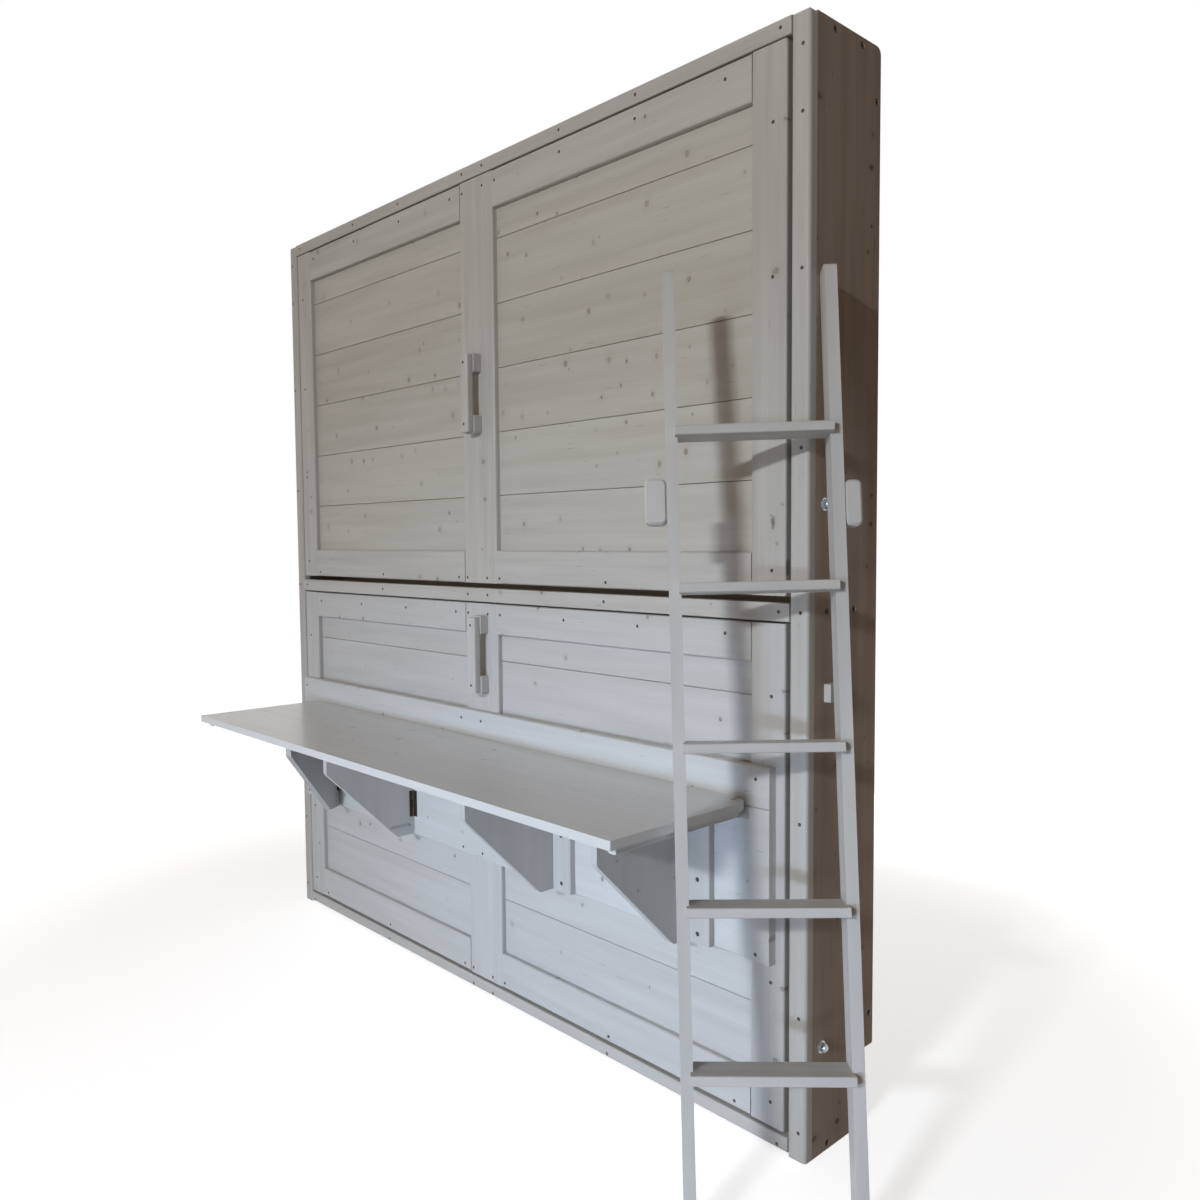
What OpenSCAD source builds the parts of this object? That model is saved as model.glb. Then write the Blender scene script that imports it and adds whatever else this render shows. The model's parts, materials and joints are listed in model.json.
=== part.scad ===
// Wall bed: two bunks that fold up into one shallow cabinet, with a fold-down desk on the front of
// the lower bunk and a loose ladder leaning on the right-hand corner.
// X runs along the wall, Y into the wall and Z up. The origin lies on the floor, at the middle of
// the width and of the depth.

// The mattress sets the size of a bed, and the two beds set the width and the height of the cabinet.

/* [Cabinet] */
// Depth from the front face to the wall
cab_d = 250; // [245:5:280]
// Thickness of the side boards, the posts and the front rails
side_t = 24; // [22:1:26]
// Thickness of the top, middle and bottom boards
shelf_t = 28; // [24:1:30]
// Width of a corner post
post_w = 44; // [38:1:50]
// Rounding of the front corners of posts
post_round = 8; // [3:1:10]
// How far the top board lies below the ends of the side boards
top_set = 2; // [0:1:6]
// Height of the top front rail
top_rail_h = 36; // [34:1:42]
// Height of the middle front rail
mid_rail_h = 38; // [34:1:42]
// Height of the bottom front rail
low_rail_h = 31; // [30:1:34]
// Height of the bottom front rail above the floor
low_rail_z = 6; // [2:1:7]
// Depth of the notch for the skirting board
notch_d = 45; // [20:1:50]
// Height of the notch for the skirting board
notch_h = 168; // [120:1:180]
// Height of the wall rail
wall_rail_h = 100; // [80:1:120]
// Thickness of the wall rail
wall_rail_t = 20; // [18:1:24]
// Distance from the top of the wall rail to the underside of the top board
wall_rail_drop = 32; // [10:1:60]
// Radius of a hole for a wall screw
wall_hole_r = 4; // [3:0.5:5]
// Distance between the wall screws along the wall
wall_hole_x = 1600; // [1000:50:1800]
// Distance between the upper and the lower wall screws
wall_hole_z = 50; // [30:5:60]

/* [Bed fronts] */
// Gap between a bed front and the posts
front_gap = 10; // [6:1:14]
// Gap above a bed front
top_gap = 4; // [3:0.5:6]
// Gap below the upper bed front
gap_below_upper = 14; // [12:1:18]
// Gap below the lower bed front
gap_below_lower = 9; // [8:1:14]
// How far the upper bed front stands above its frame
over_upper = 52; // [45:1:60]
// How far the lower bed front stands above its frame
over_lower = 22; // [18:1:30]
// Thickness of the stiles and rails planted on the boards
trim_t = 15.5; // [12:0.5:18]
// Thickness of the front boards
plank_t = 18; // [16:1:20]
// Height of a front board of the upper bed
plank_h_upper = 169; // [150:1:190]
// Height of a front board of the lower bed
plank_h_lower = 164.5; // [150:0.5:190]
// Height of the topmost front board of the upper bed
first_h_upper = 172; // [150:1:190]
// Height of the topmost front board of the lower bed
first_h_lower = 154; // [140:1:190]
// Gap between two front boards
plank_gap = 1; // [0.5:0.5:2]
// Width of an end stile
stile_w = 86; // [70:1:110]
// Width of the middle stile
mid_stile_w = 145; // [110:1:170]
// Height of the upper bed front's top rail
rail_top_upper = 95; // [80:1:110]
// Height of the upper bed front's bottom rail
rail_low_upper = 88; // [80:1:110]
// Height of the lower bed front's top rail
rail_top_lower = 83; // [80:1:110]
// Height of the lower bed front's bottom rail
rail_low_lower = 94; // [80:1:110]
// Rounding of the front edges of stiles and rails
trim_round = 5; // [1:0.5:6]

/* [Bed frames] */
// Depth of the pivots behind the front face
pivot_depth = 55; // [53:0.5:57]
// Height of the pivots above the lower edge of the bed front
pivot_rise = 183; // [181:0.5:185]
// Radius of a pivot bolt
pivot_r = 6; // [5:0.5:7]
// Running clearance round a pivot bolt
pivot_fit = 0.08; // [0.05:0.01:0.1]
// Thickness of the long rails of the bed frame
frame_t = 22; // [18:1:24]
// Thickness of the end boards of the bed frame
end_t = 24; // [20:1:28]
// Depth of the bed frame behind the front boards
frame_d = 138.5; // [134:0.5:140]
// Lower edge of the bed frame below the pivot
frame_low = 100; // [96:1:104]
// Thickness of the battens behind the front boards
batten_t = 22; // [20:0.5:24]
// Height and depth of a slat ledge
ledge = 20; // [16:1:24]
// Width of a slat
slat_w = 70; // [50:1:90]
// Thickness of a slat
slat_t = 18; // [14:1:20]
// Number of slats
slat_n = 13; // [9:1:15]
// Radius of a stop peg
peg_r = 10; // [8:0.5:11]
// Length of a stop peg inside the cabinet
peg_l = 50; // [44:1:60]
// Depth of a stop peg behind the front face
peg_depth = 236; // [234:0.5:237]

/* [Mattress] */
// Length of the mattress
mat_l = 1900; // [1850:10:1960]
// Width of the mattress
mat_w = 900; // [880:5:910]
// Play between the mattress and each end board
mat_end = 42; // [30:1:50]
// Play between the mattress and each long board
mat_side = 3; // [2:0.5:4]
// Thickness of the mattress at its border
mat_t = 94.7; // [80:0.1:94.7]
// Height of the crown in the middle of the mattress
mat_crown = 5; // [2:0.5:5]
// Width of a strap that holds the mattress
strap_w = 50; // [30:5:60]
// Distance of a strap from the middle
strap_x = 600; // [500:10:700]

/* [Handles] */
// Width of a handle bar
grip_w = 34; // [28:1:40]
// Thickness of a handle bar
grip_t = 20; // [16:1:24]
// Length of a handle
grip_l = 214; // [190:2:240]
// Finger gap behind a handle bar
grip_gap = 25; // [22:1:30]
// Height of a handle block
block_h = 50; // [40:1:60]
// Width of a handle block
block_w = 44; // [38:1:50]

/* [Desk] */
// How far the desktop ends short of the back boards
desk_end = 75; // [70:1:120]
// Depth of the desktop
desk_d = 401; // [360:1:405]
// Thickness of the desktop
desk_t = 19; // [18:1:22]
// Distance of the desktop's upper face from the bed front's upper edge
desk_drop = 366; // [350:1:380]
// Rounding of the desktop's back corners
desk_round = 30; // [10:1:45]
// Distance of the desktop's middle from the back boards' middle
desk_shift = 27; // [0:1:35]
// How far the boards behind the desk end short of the bed front
back_end = 21; // [15:1:60]
// Thickness of the boards behind the desk
back_t = 22; // [18:1:24]
// Distance of the back boards' upper edge from the bed front's upper edge
back_drop = 295; // [285:1:310]
// Height of the two back boards together
back_h = 410; // [395:1:415]
// Height of the lower back board
back_low_h = 325; // [320:1:330]
// Thickness of a bracket
bracket_t = 18; // [15:1:20]
// Reach of a bracket from the back boards
bracket_l = 283; // [240:1:290]
// Height of a bracket
bracket_h = 317; // [300:1:317]
// Height of a bracket's outer end
bracket_nose = 93; // [60:1:110]
// Length of a bracket's lower edge
bracket_toe = 58; // [40:1:70]
// Distance of the outer brackets from the middle, short of half the desktop's length
bracket_end = 145; // [135:1:160]
// Angle by which the leftmost bracket stands partly folded
bracket_turn = 32; // [0:1:40]
// Distance of the inner brackets from the middle
bracket_in = 328; // [320:1:345]
// Width of a cleat beside a bracket
cleat_w = 65; // [50:1:80]
// Thickness of a cleat
cleat_t = 18; // [15:1:22]
// Length of a bracket hinge
hinge_h = 78; // [60:2:90]
// Width of a hinge leaf
leaf_w = 13; // [12:1:30]
// Thickness of a hinge leaf
leaf_t = 1.5; // [1.2:0.1:1.6]
// Radius of a hinge pin
pin_r = 1.5; // [1.2:0.1:1.6]

/* [Ladder] */
// Turn of the ladder from the front face
ladder_turn = 43.2; // [42:0.2:45]
// Lean of the ladder towards the cabinet
ladder_lean = 7.05; // [6.9:0.05:7.1]
// Sideways tilt of the ladder
ladder_tilt = 1.1; // [0.9:0.05:1.2]
// Distance between two rungs
rung_pitch = 296.1; // [292:0.1:298]
// Length of a rung
rung_l = 294.8; // [290:0.2:300]
// Depth of a rung
rung_d = 72; // [68:1:73]
// Thickness of a rung
rung_t = 18.6; // [17:0.1:20]
// Depth of the housing of a rung in a rail
rung_let = 5; // [3:0.5:8]
// Thickness of a ladder rail
pole_t = 23; // [20:1:26]
// Depth of a ladder rail
pole_d = 60; // [56:1:63]
// How far the rungs stand out before the rails
pole_set = 20; // [10:1:24]
// Thickness of a foot pad
foot_t = 4; // [3:0.5:6]

/* [Hidden] */
$fn = 32;
front = -cab_d / 2;
wall = cab_d / 2;
bed_in = mat_l / 2 + mat_end;       // inner face of a bed frame's end board
panel = bed_in + end_t;             // half the length of a bed front
post_in = panel + front_gap;        // inner face of a post
half = post_in + post_w;
inner = half - side_t;              // inner face of a side board

// Beds: index 0 is the upper bed, index 1 the lower bed
frame_w = mat_w + 2 * mat_side;     // inside width of a bed frame
frame_over = pivot_rise - frame_low;
bed_h = frame_over + frame_w + 2 * frame_t;
low_bed_z = low_rail_z + low_rail_h + gap_below_lower;
mid_rail_z = low_bed_z + bed_h + over_lower + top_gap;
top_bed_z = mid_rail_z + mid_rail_h + gap_below_upper;
top_rail_z = top_bed_z + bed_h + over_upper + top_gap;
panel_low = [top_bed_z, low_bed_z];
panel_top = [top_rail_z - top_gap, mid_rail_z - top_gap];

// Carcass levels
cab_h = top_rail_z + top_rail_h;
mid_off = 1;                        // middle board's centre above the middle rail's
mid_z = mid_rail_z + mid_rail_h / 2 + mid_off;
top_board_z = cab_h - top_set - shelf_t;
mid_board_z = mid_z - shelf_t / 2;
wall_rail_z = top_board_z - wall_rail_drop - wall_rail_h;
shelf_front = front + side_t;
notch_y = wall - notch_d;

// Bed fronts and frames
plank_h = [plank_h_upper, plank_h_lower];
first_h = [first_h_upper, first_h_lower];
rail_top = [rail_top_upper, rail_top_lower];
rail_low = [rail_low_upper, rail_low_lower];
pivot_y = front + pivot_depth;
pivot_z = [panel_low[0] + pivot_rise, panel_low[1] + pivot_rise];
plank_y = front + trim_t;           // front face of the boards
box_y = plank_y + plank_t;          // back face of the boards
frame_back = box_y + frame_d;
spacer_l = inner - panel;
spacer_play = 0.3;
spacer_r = 12;
pivot_out = 8;                      // bolt's end outside the side board
pivot_head_r = 9.5;
pivot_head_h = 7;
washer_t = 2;
washer_r = 13;
nut_r = 10;
nut_h = 8;
cap_r = 7.5;                        // domed end of a cap nut
rest_gap = 0.3;                     // between parts that lie on each other
slat_y = box_y + ledge;
slat_end = 90;                      // middle of the first slat from the end board
slat_play = 2;
mat_y = slat_y + slat_t + rest_gap;
strap_t = 1.5;
strap_in = 8;
peg_y = front + peg_depth;
peg_rise = box_y + batten_t - pivot_y + peg_r + rest_gap;

// Fasteners
screw_r = 2;
screw_head_r = 4;
screw_head_h = 3;
screw_slack = 0.1;
panel_screw_l = 32;
row_down = 28;                      // row of screws below a bed front's upper edge
row_up = 14;                        // row of screws above its lower edge
top_row_share = [-0.97, -0.662, -0.357, -0.054, 0.0135, 0.315, 0.616, 0.92];
low_row_share = [-0.97, -0.502, -0.033, 0.0135, 0.493, 0.95];
stile_screw_in = 33;                // from the end stile's outer edge
stile_screw_down = [150, 450, 748]; // below a bed front's upper edge
stile_screw_up = 51;                // above its lower edge
rail_screw_l = 45;
bolt_r = 4;
bolt_head_r = 6.5;
bolt_sink = 6;
bolt_l = 66;
bolt_slack = 0.1;
mid_screw_x = [-60, 30];            // screws near the middle, in the rails and the middle stiles
rail_screw_end = 26;                // outermost rail screw from the post
low_rail_share = [-0.495, 0.476];   // shares of a front rail's half length
top_rail_share = [-0.628, -0.373, 0.333, 0.587];
rail_screw_out = post_in - rail_screw_end;
post_screw_up = [60, 300, 700];     // above the floor
post_screw_mid = [0, 325, 671];     // above the middle board
post_screw_down = [190, 64];        // below the top
post_screw_z = concat(post_screw_up, [for (d = post_screw_mid) mid_z + d], [for (d = post_screw_down) cab_h - d]);
post_screw_share = 0.7;             // of the side board's thickness, from outside
post_screw_x = half - side_t * post_screw_share;
top_bolt_y = [84, 180];             // bolts' distances from the front face
mid_bolt_y = [66, 165];
low_bolt_y = 79;
rail_bolt_off = 4;                  // from the middle of the wall rail, away from the wall
side_block_y = 58;
side_block_drop = 183;
side_block_size = [16, 38, 38];

// Handles: middle of each handle
grip_x = [-5, 10];
grip_rise = 511;                    // above the upper bed front's lower edge
grip_drop = 139;                    // below the lower bed front's upper edge
grip_z = [panel_low[0] + grip_rise, panel_top[1] - grip_drop];
grip_round = 7;
grip_in = 4;                        // bar's end from the block's end
grip_screw_l = 60;

// Desk
back_y = front - back_t;            // front face of the back boards
back_l = 2 * (panel - back_end);
desk_l = back_l - 2 * desk_end;
back_top = panel_top[1] - back_drop;
back_z = back_top - back_h;
desk_z = panel_top[1] - desk_drop;
desk_gap = 2;                       // between the desktop and the back boards
desk_pin_in = 4;                    // pin's distance from the desktop's top and back
desk_pin_r = 2.5;
desk_back = back_y - desk_gap;
desk_pin_y = desk_back - desk_pin_in;
desk_pin_z = desk_z - desk_pin_in;
desk_low = desk_z - desk_t;
lug_t = 2;
lug_play = 0.5;
lug_in = 30;                        // from the desktop's ends
lug_slot_l = 26;                    // slots in the desktop's back edge, round the lugs
lug_slot_w = 2 * (lug_t + lug_play);
lug_l = 22;                         // end plates
lug_h = 15;
lug_end = 8;                        // from the pin
lug_foot = 24;                      // width of a lug's foot on the back boards
lug_drop = 22;                      // how far a lug reaches below the desktop
lug_gap = 2;                        // between a lug's foot and the desktop's underside
lug_x = desk_l / 2 - lug_in;
bracket_play = 0.7;                 // below the desktop
bracket_top = desk_low - bracket_play;
bracket_low = bracket_top - bracket_h;
bracket_out = desk_l / 2 - bracket_end;
bracket_x = [-bracket_out, -bracket_in, bracket_in, bracket_out];
hinge_in = [1, 1, -1, -1];          // the side on which each bracket is hinged
pin_off = 3;                        // hinge pin's distance from the bracket and the back boards
bracket_back = 1;                   // gap behind a bracket
hinge_rise = [53, 202];
hinge_z = [for (d = hinge_rise) bracket_low + d];
turns = [bracket_turn, 0, 0, 0];
pin_play = 0.05;
knuckle_gap = 0.3;
cleat_gap = 1;
cleat_drop = 5;                     // below the desktop
cleat_top = desk_low - cleat_drop;
batten_w = 20;
batten_h = 15;
batten_l = 350;
batten_end = 20;                    // batten's middle from the desktop's end
batten_back = 26;

// Ladder: front lower left corner of the lowest rung, seen from the cabinet's front corner
ladder_out = [-9.1, -336.8];
ladder_z = 292.3;
ladder_at = [half + ladder_out.x, front + ladder_out.y, ladder_z];
rung_n = 5;
rung_round = 3;
floor_l = 900;                      // block that cuts the rails off at the foot pads
floor_cut = 200;
pole_top = 1510;
pole_low = -340;
grab_z = [1020, 1008];              // left and right, along the rail
grab_h = 86;
grab_w = [42, 32];                  // left and right
grab_d = 40;
grab_round = 11;
grab_edge = 4;

// ---- Outlines ----

function unit(v) = v / norm(v);

// Arc of radius r that rounds corner b between a and c
function corner(a, b, c, r, n = 5) =
    let (u = unit(a - b), w = unit(c - b), h = acos(u * w) / 2)
    let (m = b + unit(u + w) * r / sin(h), s = b + u * r / tan(h) - m, e = b + w * r / tan(h) - m)
    let (a0 = atan2(s.y, s.x), d = atan2(e.y, e.x) - a0)
    let (turn = d > 180 ? d - 360 : d < -180 ? d + 360 : d)
    [for (i = [0:n]) m + r * [cos(a0 + turn * i / n), sin(a0 + turn * i / n)]];

// Outline whose corner i is rounded by r[i]
function rounded(p, r) =
    let (k = len(p))
    [for (i = [0:k - 1]) each (r[i] == 0 ? [p[i]] : corner(p[(i + k - 1) % k], p[i], p[(i + 1) % k], r[i]))];

function box_outline(w, h, r) = rounded([[0, 0], [w, 0], [w, h], [0, h]], r);

// ---- Bars: at = low corner, s = size, r = rounding of the four long edges ----

// Along X; edges: front low, back low, back high, front high
module bar_x(at, s, r = [0, 0, 0, 0]) {
    translate(at) rotate([90, 0, 90]) linear_extrude(s.x) polygon(box_outline(s.y, s.z, r));
}

// Along Y; edges: left low, right low, right high, left high
module bar_y(at, s, r = [0, 0, 0, 0]) {
    translate(at + [0, s.y, 0]) rotate([90, 0, 0]) linear_extrude(s.y) polygon(box_outline(s.x, s.z, r));
}

// Along Z; edges: left front, right front, right back, left back
module bar_z(at, s, r = [0, 0, 0, 0]) {
    translate(at) linear_extrude(s.z) polygon(box_outline(s.x, s.y, r));
}

// ---- Fasteners ----

// Countersunk screw along +Z, its head flush with z = 0
module screw_shape(length, slack, head = screw_head_r) {
    rotate_extrude($fn = 20)
        polygon([[0, 0], [head + slack, 0], [screw_r + slack, screw_head_h],
                 [screw_r + slack, length], [0, length]]);
}

module screw(length, head = screw_head_r) {
    difference() {
        screw_shape(length, 0, head);
        translate([0, 0, -1]) cylinder(h = 2.4, r = 1.6, $fn = 6);
    }
}

// Places children on a front face, pointing into it
module into_front(points) {
    for (p = points) translate(p) rotate([-90, 0, 0]) children();
}

// Places children on the outer face of side board s (-1 left, 1 right), pointing inwards
module from_side(s, y, z) {
    translate([s * half, y, z]) rotate([0, -90 * s, 0]) children();
}

module bolt_shape(slack) {
    cylinder(h = bolt_sink, r = bolt_head_r + slack * 10);
    cylinder(h = bolt_l, r = bolt_r + slack);
}

module bolt() {
    difference() {
        union() {
            translate([0, 0, 1]) cylinder(h = bolt_sink - 1, r = bolt_head_r);
            translate([0, 0, 1]) cylinder(h = bolt_l - 1, r = bolt_r);
        }
        cylinder(h = 4, r = 2.9, $fn = 6);
    }
}

// Places of the bolts in a side board: [y, z]
top_bolts = [for (d = top_bolt_y) [front + d, top_board_z + shelf_t / 2]];
mid_bolts = [for (d = mid_bolt_y) [front + d, mid_board_z + shelf_t / 2]];
low_bolts = [[front + low_bolt_y, shelf_t / 2]];
rail_bolts = [[wall - wall_rail_t / 2 - rail_bolt_off, wall_rail_z + wall_rail_h / 2]];
peg_bolts = [[peg_y, pivot_z[1] + peg_rise]];
side_bolts = concat(top_bolts, mid_bolts, low_bolts, rail_bolts, peg_bolts);

module bolt_bores(list) {
    for (s = [-1, 1], b = list) from_side(s, b.x, b.y) bolt_shape(bolt_slack);
}

module pivot_bores(r) {
    for (s = [-1, 1], b = [0, 1])
        from_side(s, pivot_y, pivot_z[b]) translate([0, 0, -1]) cylinder(h = side_t + spacer_l + end_t + 2, r = r);
}

// ---- Carcass ----

module side_outline() {
    p = [[shelf_front, 0], [notch_y, 0], [notch_y, notch_h], [wall, notch_h], [wall, cab_h], [shelf_front, cab_h]];
    polygon(rounded(p, [0, 0, 12, 4, 15, 0]));
}

module side_board(s) {
    color("#9d9b94") difference() {
        translate([s > 0 ? inner : -half, 0, 0]) rotate([90, 0, 90]) linear_extrude(side_t) side_outline();
        bolt_bores(side_bolts);
        pivot_bores(pivot_r + pivot_fit);
        into_front(post_screws()) screw_shape(rail_screw_l, screw_slack);
    }
}

module side_board_left() side_board(-1);
module side_board_right() side_board(1);

function post_screws() = [for (s = [-1, 1], z = post_screw_z) [s * post_screw_x, front, z]];

// The front and outer edges are rounded, up over the top
module posts() {
    r = post_round;
    size = [post_w, side_t, cab_h];
    color("#a19f98") for (s = [-1, 1]) difference() {
        intersection() {
            bar_z([s > 0 ? post_in : -half, front, 0], size, [r, r, 0, 0]);
            bar_y([s > 0 ? post_in : -half, front, 0], size, s > 0 ? [0, 0, r, 0] : [0, 0, 0, r]);
            bar_x([s > 0 ? post_in : -half, front, 0], size, [0, 0, 0, r]);
        }
        into_front(post_screws()) screw_shape(rail_screw_l, screw_slack);
    }
}

function rail_z() = [[low_rail_z, low_rail_h], [mid_rail_z, mid_rail_h], [top_rail_z, top_rail_h]];
function rail_screw_row(share, z) =
    [for (x = concat([-rail_screw_out, rail_screw_out], mid_screw_x, share * post_in)) [x, front, z]];
function rail_screws() = concat(
    rail_screw_row(low_rail_share, shelf_t / 2),
    rail_screw_row(low_rail_share, mid_z),
    rail_screw_row(top_rail_share, top_board_z + shelf_t / 2));

module front_rails() {
    color("#a19f98") difference() {
        for (r = rail_z()) bar_x([-post_in, front, r[0]], [2 * post_in, side_t, r[1]], [3, 0, 0, 3]);
        into_front(rail_screws()) screw_shape(rail_screw_l, screw_slack);
    }
}

module shelf(z, back) {
    color("#97938a") difference() {
        translate([-inner, shelf_front, z]) cube([2 * inner, back - shelf_front, shelf_t]);
        bolt_bores(side_bolts);
        into_front(rail_screws()) screw_shape(rail_screw_l, screw_slack);
    }
}

module top_board() shelf(top_board_z, wall);
module middle_board() shelf(mid_board_z, wall);
module bottom_board() shelf(0, notch_y);

module wall_rail() {
    color("#97938a") difference() {
        translate([-inner, wall - wall_rail_t, wall_rail_z]) cube([2 * inner, wall_rail_t, wall_rail_h]);
        bolt_bores(rail_bolts);
        for (x = [-1, 1], z = [-1, 1])
            translate([x * wall_hole_x / 2, wall - wall_rail_t - 1, wall_rail_z + wall_rail_h / 2 + z * wall_hole_z / 2])
                rotate([-90, 0, 0]) cylinder(h = wall_rail_t + 2, r = wall_hole_r);
    }
}

module stop_pegs() {
    color("#8d8577") for (s = [-1, 1], b = [0, 1]) difference() {
        from_side(s, peg_y, pivot_z[b] + peg_rise) translate([0, 0, side_t]) cylinder(h = peg_l, r = peg_r);
        bolt_bores(peg_bolts);
    }
}

module pivot_bolts() {
    color("#b9bcbf") for (s = [-1, 1], b = [0, 1]) from_side(s, pivot_y, pivot_z[b]) {
        shank = side_t + spacer_l + end_t + spacer_play;
        translate([0, 0, -pivot_out]) cylinder(h = pivot_out + shank, r = pivot_r);
        translate([0, 0, shank]) cylinder(h = pivot_head_h, r = pivot_head_r, $fn = 6);
    }
}

module pivot_spacers() {
    color("#8a8d90") for (s = [-1, 1], b = [0, 1]) from_side(s, pivot_y, pivot_z[b]) difference() {
        translate([0, 0, side_t]) cylinder(h = spacer_l - spacer_play, r = spacer_r);
        cylinder(h = side_t + spacer_l, r = pivot_r + pivot_fit);
    }
}

module pivot_nuts() {
    color("#c9cccf") for (s = [-1, 1], b = [0, 1]) from_side(s, pivot_y, pivot_z[b]) difference() {
        union() {
            translate([0, 0, -washer_t]) cylinder(h = washer_t, r = washer_r);
            translate([0, 0, -washer_t - nut_h]) cylinder(h = nut_h, r = nut_r, $fn = 6);
            translate([0, 0, 1 - washer_t - nut_h]) sphere(r = cap_r);
        }
        translate([0, 0, -pivot_out]) cylinder(h = pivot_out + 1, r = pivot_r + pivot_fit);
    }
}

module carcass_bolts() {
    color("#c2c5c8") for (s = [-1, 1], b = side_bolts) from_side(s, b.x, b.y) bolt();
}

module front_screws() {
    color("#3c3a38") {
        into_front(post_screws()) screw(rail_screw_l);
        into_front(rail_screws()) screw(rail_screw_l);
    }
}

module side_block() {
    color("#b59f7d") bar_x([half, front + side_block_y, mid_z - side_block_drop], side_block_size, [3, 3, 3, 3]);
}

// ---- Beds ----

function plank_top(b, k) = k == 0 ? panel_top[b] : panel_top[b] - first_h[b] - (k - 1) * plank_h[b];
function plank_n(b) = ceil((panel_top[b] - first_h[b] - panel_low[b]) / plank_h[b]) + 1;
rail_l = panel - stile_w - mid_stile_w / 2;

// Row of screws along the rails and the middle stile of a bed front
function panel_row(share, z) =
    [for (x = concat(mid_screw_x, [for (f = share) sign(f) * mid_stile_w / 2 + f * rail_l])) [x, front, z]];

// Screws of a bed front: a row near each long edge, and one line down each end stile
function panel_screws(b) = concat(
    panel_row(top_row_share, panel_top[b] - row_down),
    panel_row(low_row_share, panel_low[b] + row_up),
    [for (s = [-1, 1], z = concat([for (d = stile_screw_down) panel_top[b] - d], [panel_low[b] + stile_screw_up]))
        [s * (panel - stile_screw_in), front, z]]);

module panel_bores(b) {
    into_front(panel_screws(b)) screw_shape(panel_screw_l, screw_slack);
}

module planks(b) {
    color("#9d9b94") difference() {
        for (k = [0:plank_n(b) - 1]) {
            top = plank_top(b, k);
            low = max(plank_top(b, k + 1), panel_low[b]);
            bar_x([-panel, plank_y, low], [2 * panel, plank_t, top - low - (k == 0 ? 0 : plank_gap)], [2, 0, 0, 2]);
        }
        panel_bores(b);
        if (b == 1) desk_bores();
        grip_bores(b);
    }
}

module stiles(b) {
    h = panel_top[b] - panel_low[b];
    color("#a19f98") difference() {
        for (x = [[-panel, stile_w], [-mid_stile_w / 2, mid_stile_w], [panel - stile_w, stile_w]])
            bar_z([x[0], front, panel_low[b]], [x[1], trim_t, h], [trim_round, trim_round, 0, 0]);
        panel_bores(b);
        if (b == 1) desk_bores();
        grip_bores(b);
    }
}

module trim_rails(b) {
    r = [trim_round, 0, 0, trim_round];
    color("#a19f98") difference() {
        for (x = [-panel + stile_w, mid_stile_w / 2]) {
            bar_x([x, front, panel_low[b]], [rail_l, trim_t, rail_low[b]], r);
            bar_x([x, front, panel_top[b] - rail_top[b]], [rail_l, trim_t, rail_top[b]], r);
        }
        panel_bores(b);
    }
}

// Lower and upper edge of the bed frame, outside
function frame_z0(b) = pivot_z[b] - frame_low;
function frame_z1(b) = frame_z0(b) + frame_w + 2 * frame_t;

// Battens behind the front's long edges, and the ledges that carry the slats
module battens(b) {
    color("#8d8577") {
        translate([-panel, box_y, panel_low[b]]) cube([2 * panel, batten_t, frame_over]);
        translate([-panel, box_y, frame_z1(b)]) cube([2 * panel, batten_t, panel_top[b] - frame_z1(b)]);
        for (z = [frame_z0(b) + frame_t, frame_z1(b) - frame_t - ledge])
            translate([-bed_in, box_y, z]) cube([2 * bed_in, ledge, ledge]);
    }
}

module frame_rails(b) {
    color("#a39a88") for (z = [frame_z0(b), frame_z1(b) - frame_t])
        bar_x([-panel, box_y, z], [2 * panel, frame_d, frame_t], [0, 3, 3, 0]);
}

module frame_ends(b) {
    color("#a39a88") difference() {
        for (x = [-panel, panel - end_t])
            translate([x, box_y, frame_z0(b) + frame_t]) cube([end_t, frame_d, frame_w]);
        pivot_bores(pivot_r + pivot_fit);
    }
}

module slats(b) {
    run = 2 * (bed_in - slat_end);
    color("#b8a684") for (i = [0:slat_n - 1])
        bar_z([-run / 2 + run * i / (slat_n - 1) - slat_w / 2, slat_y, frame_z0(b) + frame_t + slat_play],
              [slat_w, slat_t, frame_w - 2 * slat_play], [2, 2, 2, 2]);
}

// Ring of the mattress: rounded rectangle, drawn in from the border by inset, at depth y
function mat_ring(inset, y, n = 5) =
    let (x = mat_l / 2 - inset, z = mat_w / 2 - inset, r = max(60 - inset, 8))
    [for (q = [0:3], i = [0:n])
        let (a = 90 * q + 90 * i / n, sx = (q == 0 || q == 3) ? 1 : -1, sz = q < 2 ? 1 : -1)
        [sx * (x - r) + r * cos(a), y, sz * (z - r) + r * sin(a)]];

// The border is a half round with a drawn-in waist, and four rings rise to the crown
mat_edge = 28;
mat_waist = 4;
mat_rings = concat(
    [for (i = [0:10]) let (a = -90 + 18 * i)
        [mat_edge * (1 - cos(a)) + mat_waist * pow(max(0, cos(2 * a)), 2), mat_t * (1 + sin(a)) / 2]],
    [for (j = [1:4]) let (f = j / 4)
        [mat_edge + (mat_w / 2 - mat_edge - 40) * f, mat_t + mat_crown * (1 - pow(1 - f, 2))]]);

module mattress(b) {
    m = 24;
    k = len(mat_rings);
    points = [for (r = mat_rings) each mat_ring(r[0], r[1])];
    sides = [for (j = [0:k - 2], i = [0:m - 1])
        let (a = j * m + i, c = j * m + (i + 1) % m) each [[a, c, c + m], [a, c + m, a + m]]];
    caps = [[for (i = [m - 1:-1:0]) i], [for (i = [0:m - 1]) (k - 1) * m + i]];
    color("#d9d5cb") translate([0, mat_y, frame_z0(b) + frame_t + frame_w / 2])
        polyhedron(points, concat(sides, caps));
}

module straps(b) {
    color("#3e4148") for (s = [-1, 1])
        translate([s * strap_x - strap_w / 2, frame_back, frame_z0(b) + strap_in])
            cube([strap_w, strap_t, frame_z1(b) - frame_z0(b) - 2 * strap_in]);
}

// ---- Handles ----

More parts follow.
